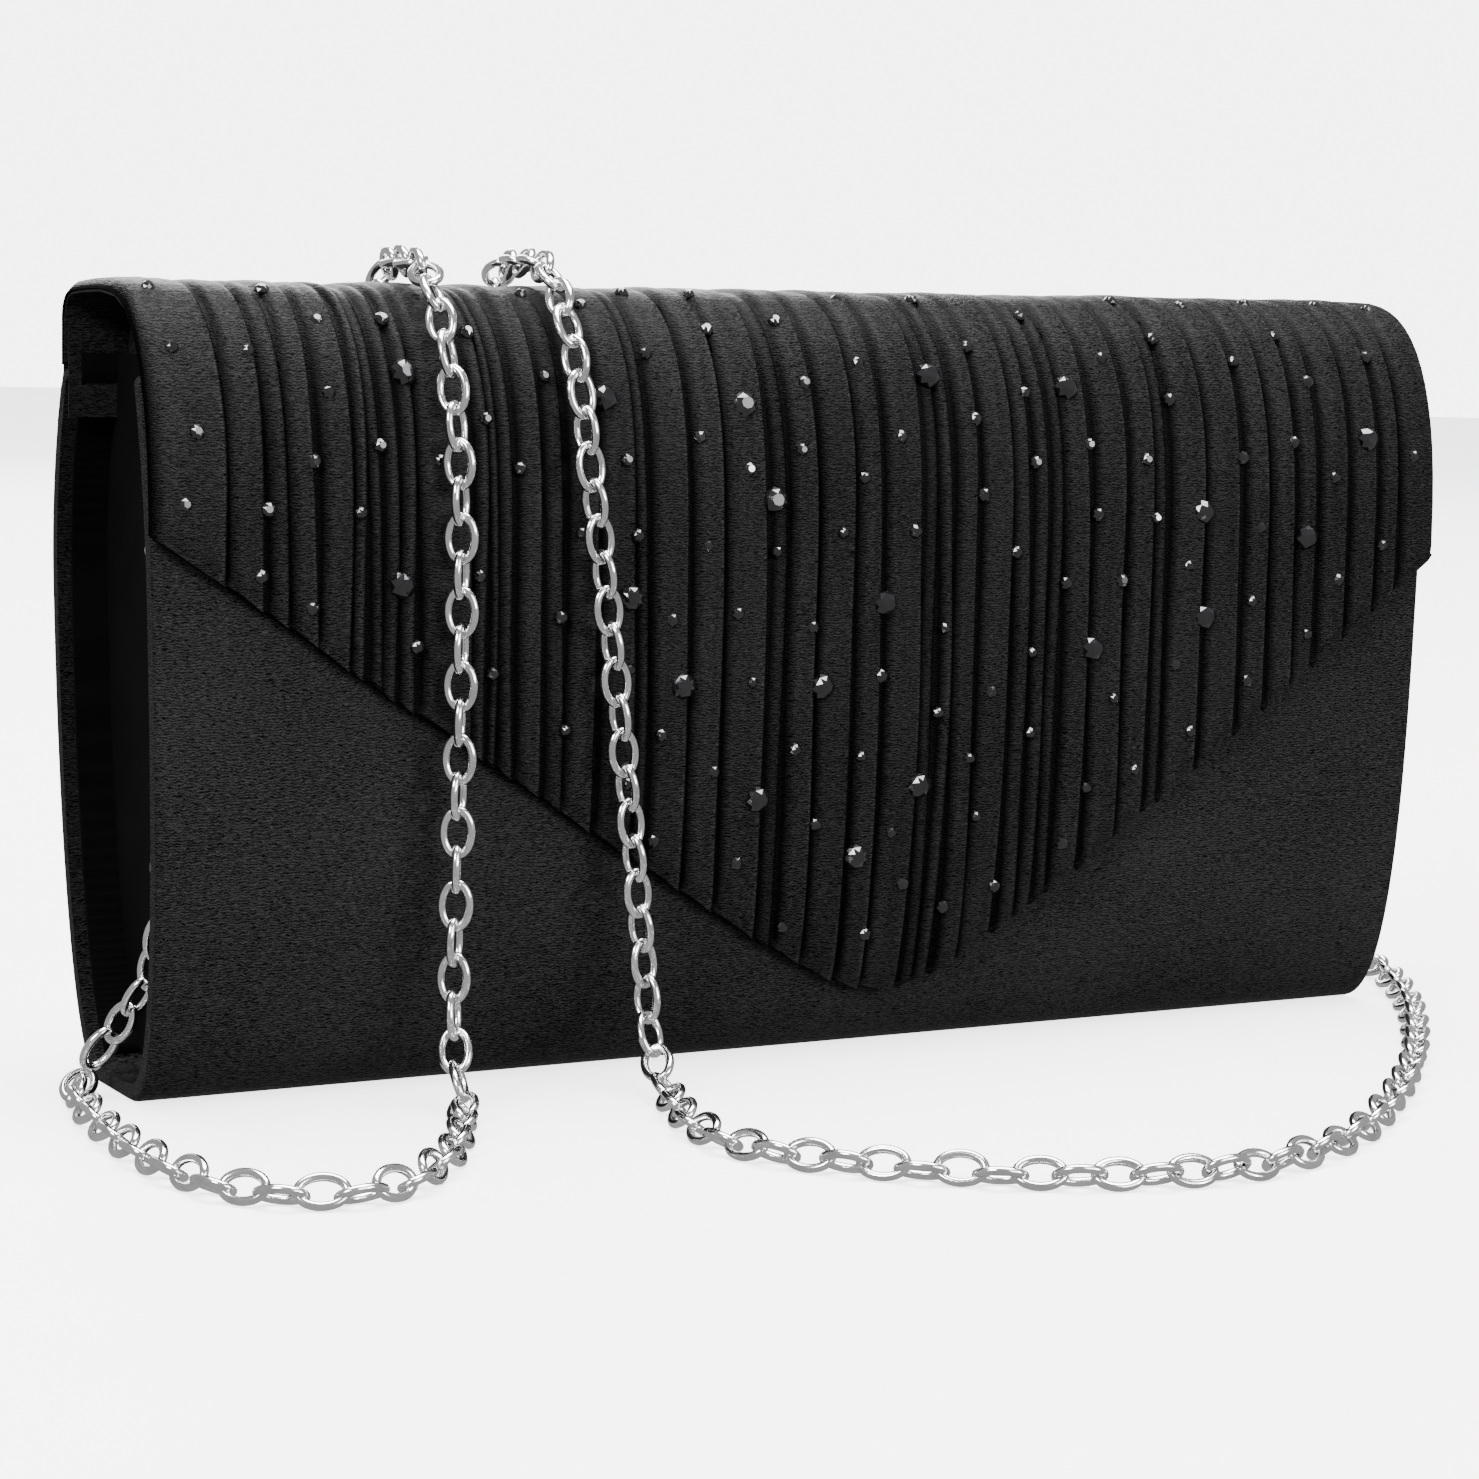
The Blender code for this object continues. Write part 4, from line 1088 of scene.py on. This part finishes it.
def refined(node, name, body, material, bevel):
    """A copy of a CAD node with its edges rounded, which stands for it."""
    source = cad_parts[node]
    mesh = source.data.copy()
    mesh.name = name
    mesh.materials.clear()
    obj = add_piece(name, mesh, material, body, (node,))
    modifier = obj.modifiers.new("round", "BEVEL")
    modifier.width = bevel * MM
    modifier.segments = 2
    modifier.limit_method = "ANGLE"
    modifier.angle_limit = math.radians(40)
    mesh.shade_smooth()
    mesh.set_sharp_from_angle(angle=math.radians(40))
    return obj


# ---- stage ----

def add_camera():
    data = bpy.data.cameras.new("camera")
    data.lens = CAMERA_LENS
    data.sensor_width = 36.0
    data.clip_start = 0.01
    camera = bpy.data.objects.new("camera", data)
    yaw, pitch, roll = (math.radians(a) for a in (CAMERA_YAW, CAMERA_PITCH, CAMERA_ROLL))
    forward = Vector((math.sin(yaw) * math.cos(pitch), math.cos(yaw) * math.cos(pitch),
                      math.sin(pitch)))
    right = Vector((math.cos(yaw), -math.sin(yaw), 0.0))
    up = right.cross(forward)
    tilted_right = right * math.cos(roll) + up * math.sin(roll)
    tilted_up = up * math.cos(roll) - right * math.sin(roll)
    rotation = Matrix((tilted_right, tilted_up, -forward)).transposed().to_4x4()
    camera.matrix_world = Matrix.Translation(Vector(CAMERA_PLACE) * MM) @ rotation
    bpy.context.scene.collection.objects.link(camera)
    bpy.context.scene.camera = camera


def add_area(name, place, target, size, power):
    data = bpy.data.lights.new(name, "AREA")
    data.shape = "RECTANGLE"
    data.size, data.size_y = size
    data.energy = power
    light = bpy.data.objects.new(name, data)
    light.location = place
    light.rotation_euler = (Vector(target) - Vector(place)).to_track_quat("-Z", "Y").to_euler()
    bpy.context.scene.collection.objects.link(light)


def add_backdrop():
    """A white studio wall all round, far behind the bag, which only the camera sees."""
    n = Nodes("backdrop_white")
    cloud = n.noise(n.mapped((1, 1, 1)), 0.6, 2.0, 0.5)
    n.set(Base_Color=(0.9, 0.9, 0.9, 1), Roughness=0.9, Emission_Strength=WALL_GLOW)
    n.link(n.ramp(cloud, ((0.0, 0.94), (1.0, 1.0))), n.shader.inputs["Emission Color"])
    n.material.cycles.emission_sampling = "NONE"
    sides = 48
    ring = [(WALL_R * math.cos(2 * math.pi * k / sides), WALL_R * math.sin(2 * math.pi * k / sides))
            for k in range(sides)]
    points = [(x, y, -0.2) for x, y in ring] + [(x, y, WALL_HEIGHT) for x, y in ring]
    mesh = bpy.data.meshes.new("backdrop")
    mesh.from_pydata(points, [], grid_faces(2, sides, wrap=True))
    mesh.materials.append(n.material)
    wall = bpy.data.objects.new("backdrop", mesh)
    bpy.context.scene.collection.objects.link(wall)
    wall.visible_diffuse = False
    wall.visible_glossy = False
    wall.visible_shadow = False


def add_stage():
    mesh = bpy.data.meshes.new("floor")
    mesh.from_pydata([(-4, -4, 0), (4, -4, 0), (4, 4, 0), (-4, 4, 0)], [], [(0, 1, 2, 3)])
    floor = bpy.data.objects.new("floor", mesh)
    mesh.materials.append(floor_material("pale_floor"))
    bpy.context.scene.collection.objects.link(floor)
    floor.visible_diffuse = False
    floor.visible_glossy = False
    world = bpy.data.worlds.new("studio")
    bpy.context.scene.world = world
    world.use_nodes = True
    background = world.node_tree.nodes["Background"]
    background.inputs["Color"].default_value = (1, 1, 1, 1)
    background.inputs["Strength"].default_value = SKY_STRENGTH
    add_backdrop()
    for light in LIGHTS:
        add_area(*light)


def main():
    add_camera()
    satin = satin_material("black_satin_weave", (0.0003, 0.0003, 0.0003), (0.032, 0.032, 0.033),
                           0.42, 0.8)
    pleated = satin_material("pleated_satin_painted_shade", (0.0008, 0.0008, 0.0008),
                             (0.038, 0.038, 0.039), 0.36, 0.7, painted_fold_shade=True)
    lining = satin_material("lining_satin_weave", (0.002, 0.002, 0.002), (0.03, 0.03, 0.031),
                            0.38, 0.4)
    gusset_cloth = cloth_material("gusset_cloth_weave", (0.001, 0.001, 0.001),
                                  (0.005, 0.005, 0.005))
    silver = metal_material("silver_plate_polished", (0.88, 0.88, 0.89), (0.72, 0.72, 0.73), 0.12)
    steel = metal_material("plated_steel", (0.66, 0.66, 0.68), (0.5, 0.5, 0.52), 0.3)
    magnet = metal_material("magnet_grey", (0.3, 0.3, 0.31), (0.2, 0.2, 0.2), 0.45)
    stone = stone_material("jet_glass")
    board = board_material("grey_board_fibre")

    chain, route, length = build_chain(silver)
    for word in TWO:
        for part, bevel in (("clasp_body", 0.25), ("clasp_eye", 0.05)):
            refined(f"{part}_{word}", f"{part}_{word}_polished", "bag",
                                    silver, bevel)
        refined(f"clasp_gate_{word}", f"clasp_gate_{word}_polished",
                                f"gate_{word}", steel, 0.15)
        dress(f"jump_ring_{word}", silver)
        dress(f"clasp_pin_{word}", steel)
        dress(f"d_ring_{word}", silver)
        dress(f"ring_tab_{word}", lining)

    build_cover("front", -1, satin)
    build_cover("back", 1, satin)
    for side, word in ((-1, "left"), (1, "right")):
        build_gusset(word, side, gusset_cloth)
        build_ear(word, side, lining)
    path = FlapPath()
    build_flap(path, pleated)
    build_hinge(path, satin, lining)
    build_stones(path, stone)

    for node in ("front_lining", "back_lining", "slip_pocket", "flap_lining"):
        dress(node, lining)
    for node in ("front_board", "back_board", "base_board", "flap_board"):
        dress(node, board)
    for node in ("snap_stud", "snap_stud_plate", "snap_socket", "snap_socket_plate"):
        dress(node, steel)
    dress("snap_magnet", magnet)
    add_stage()


main()
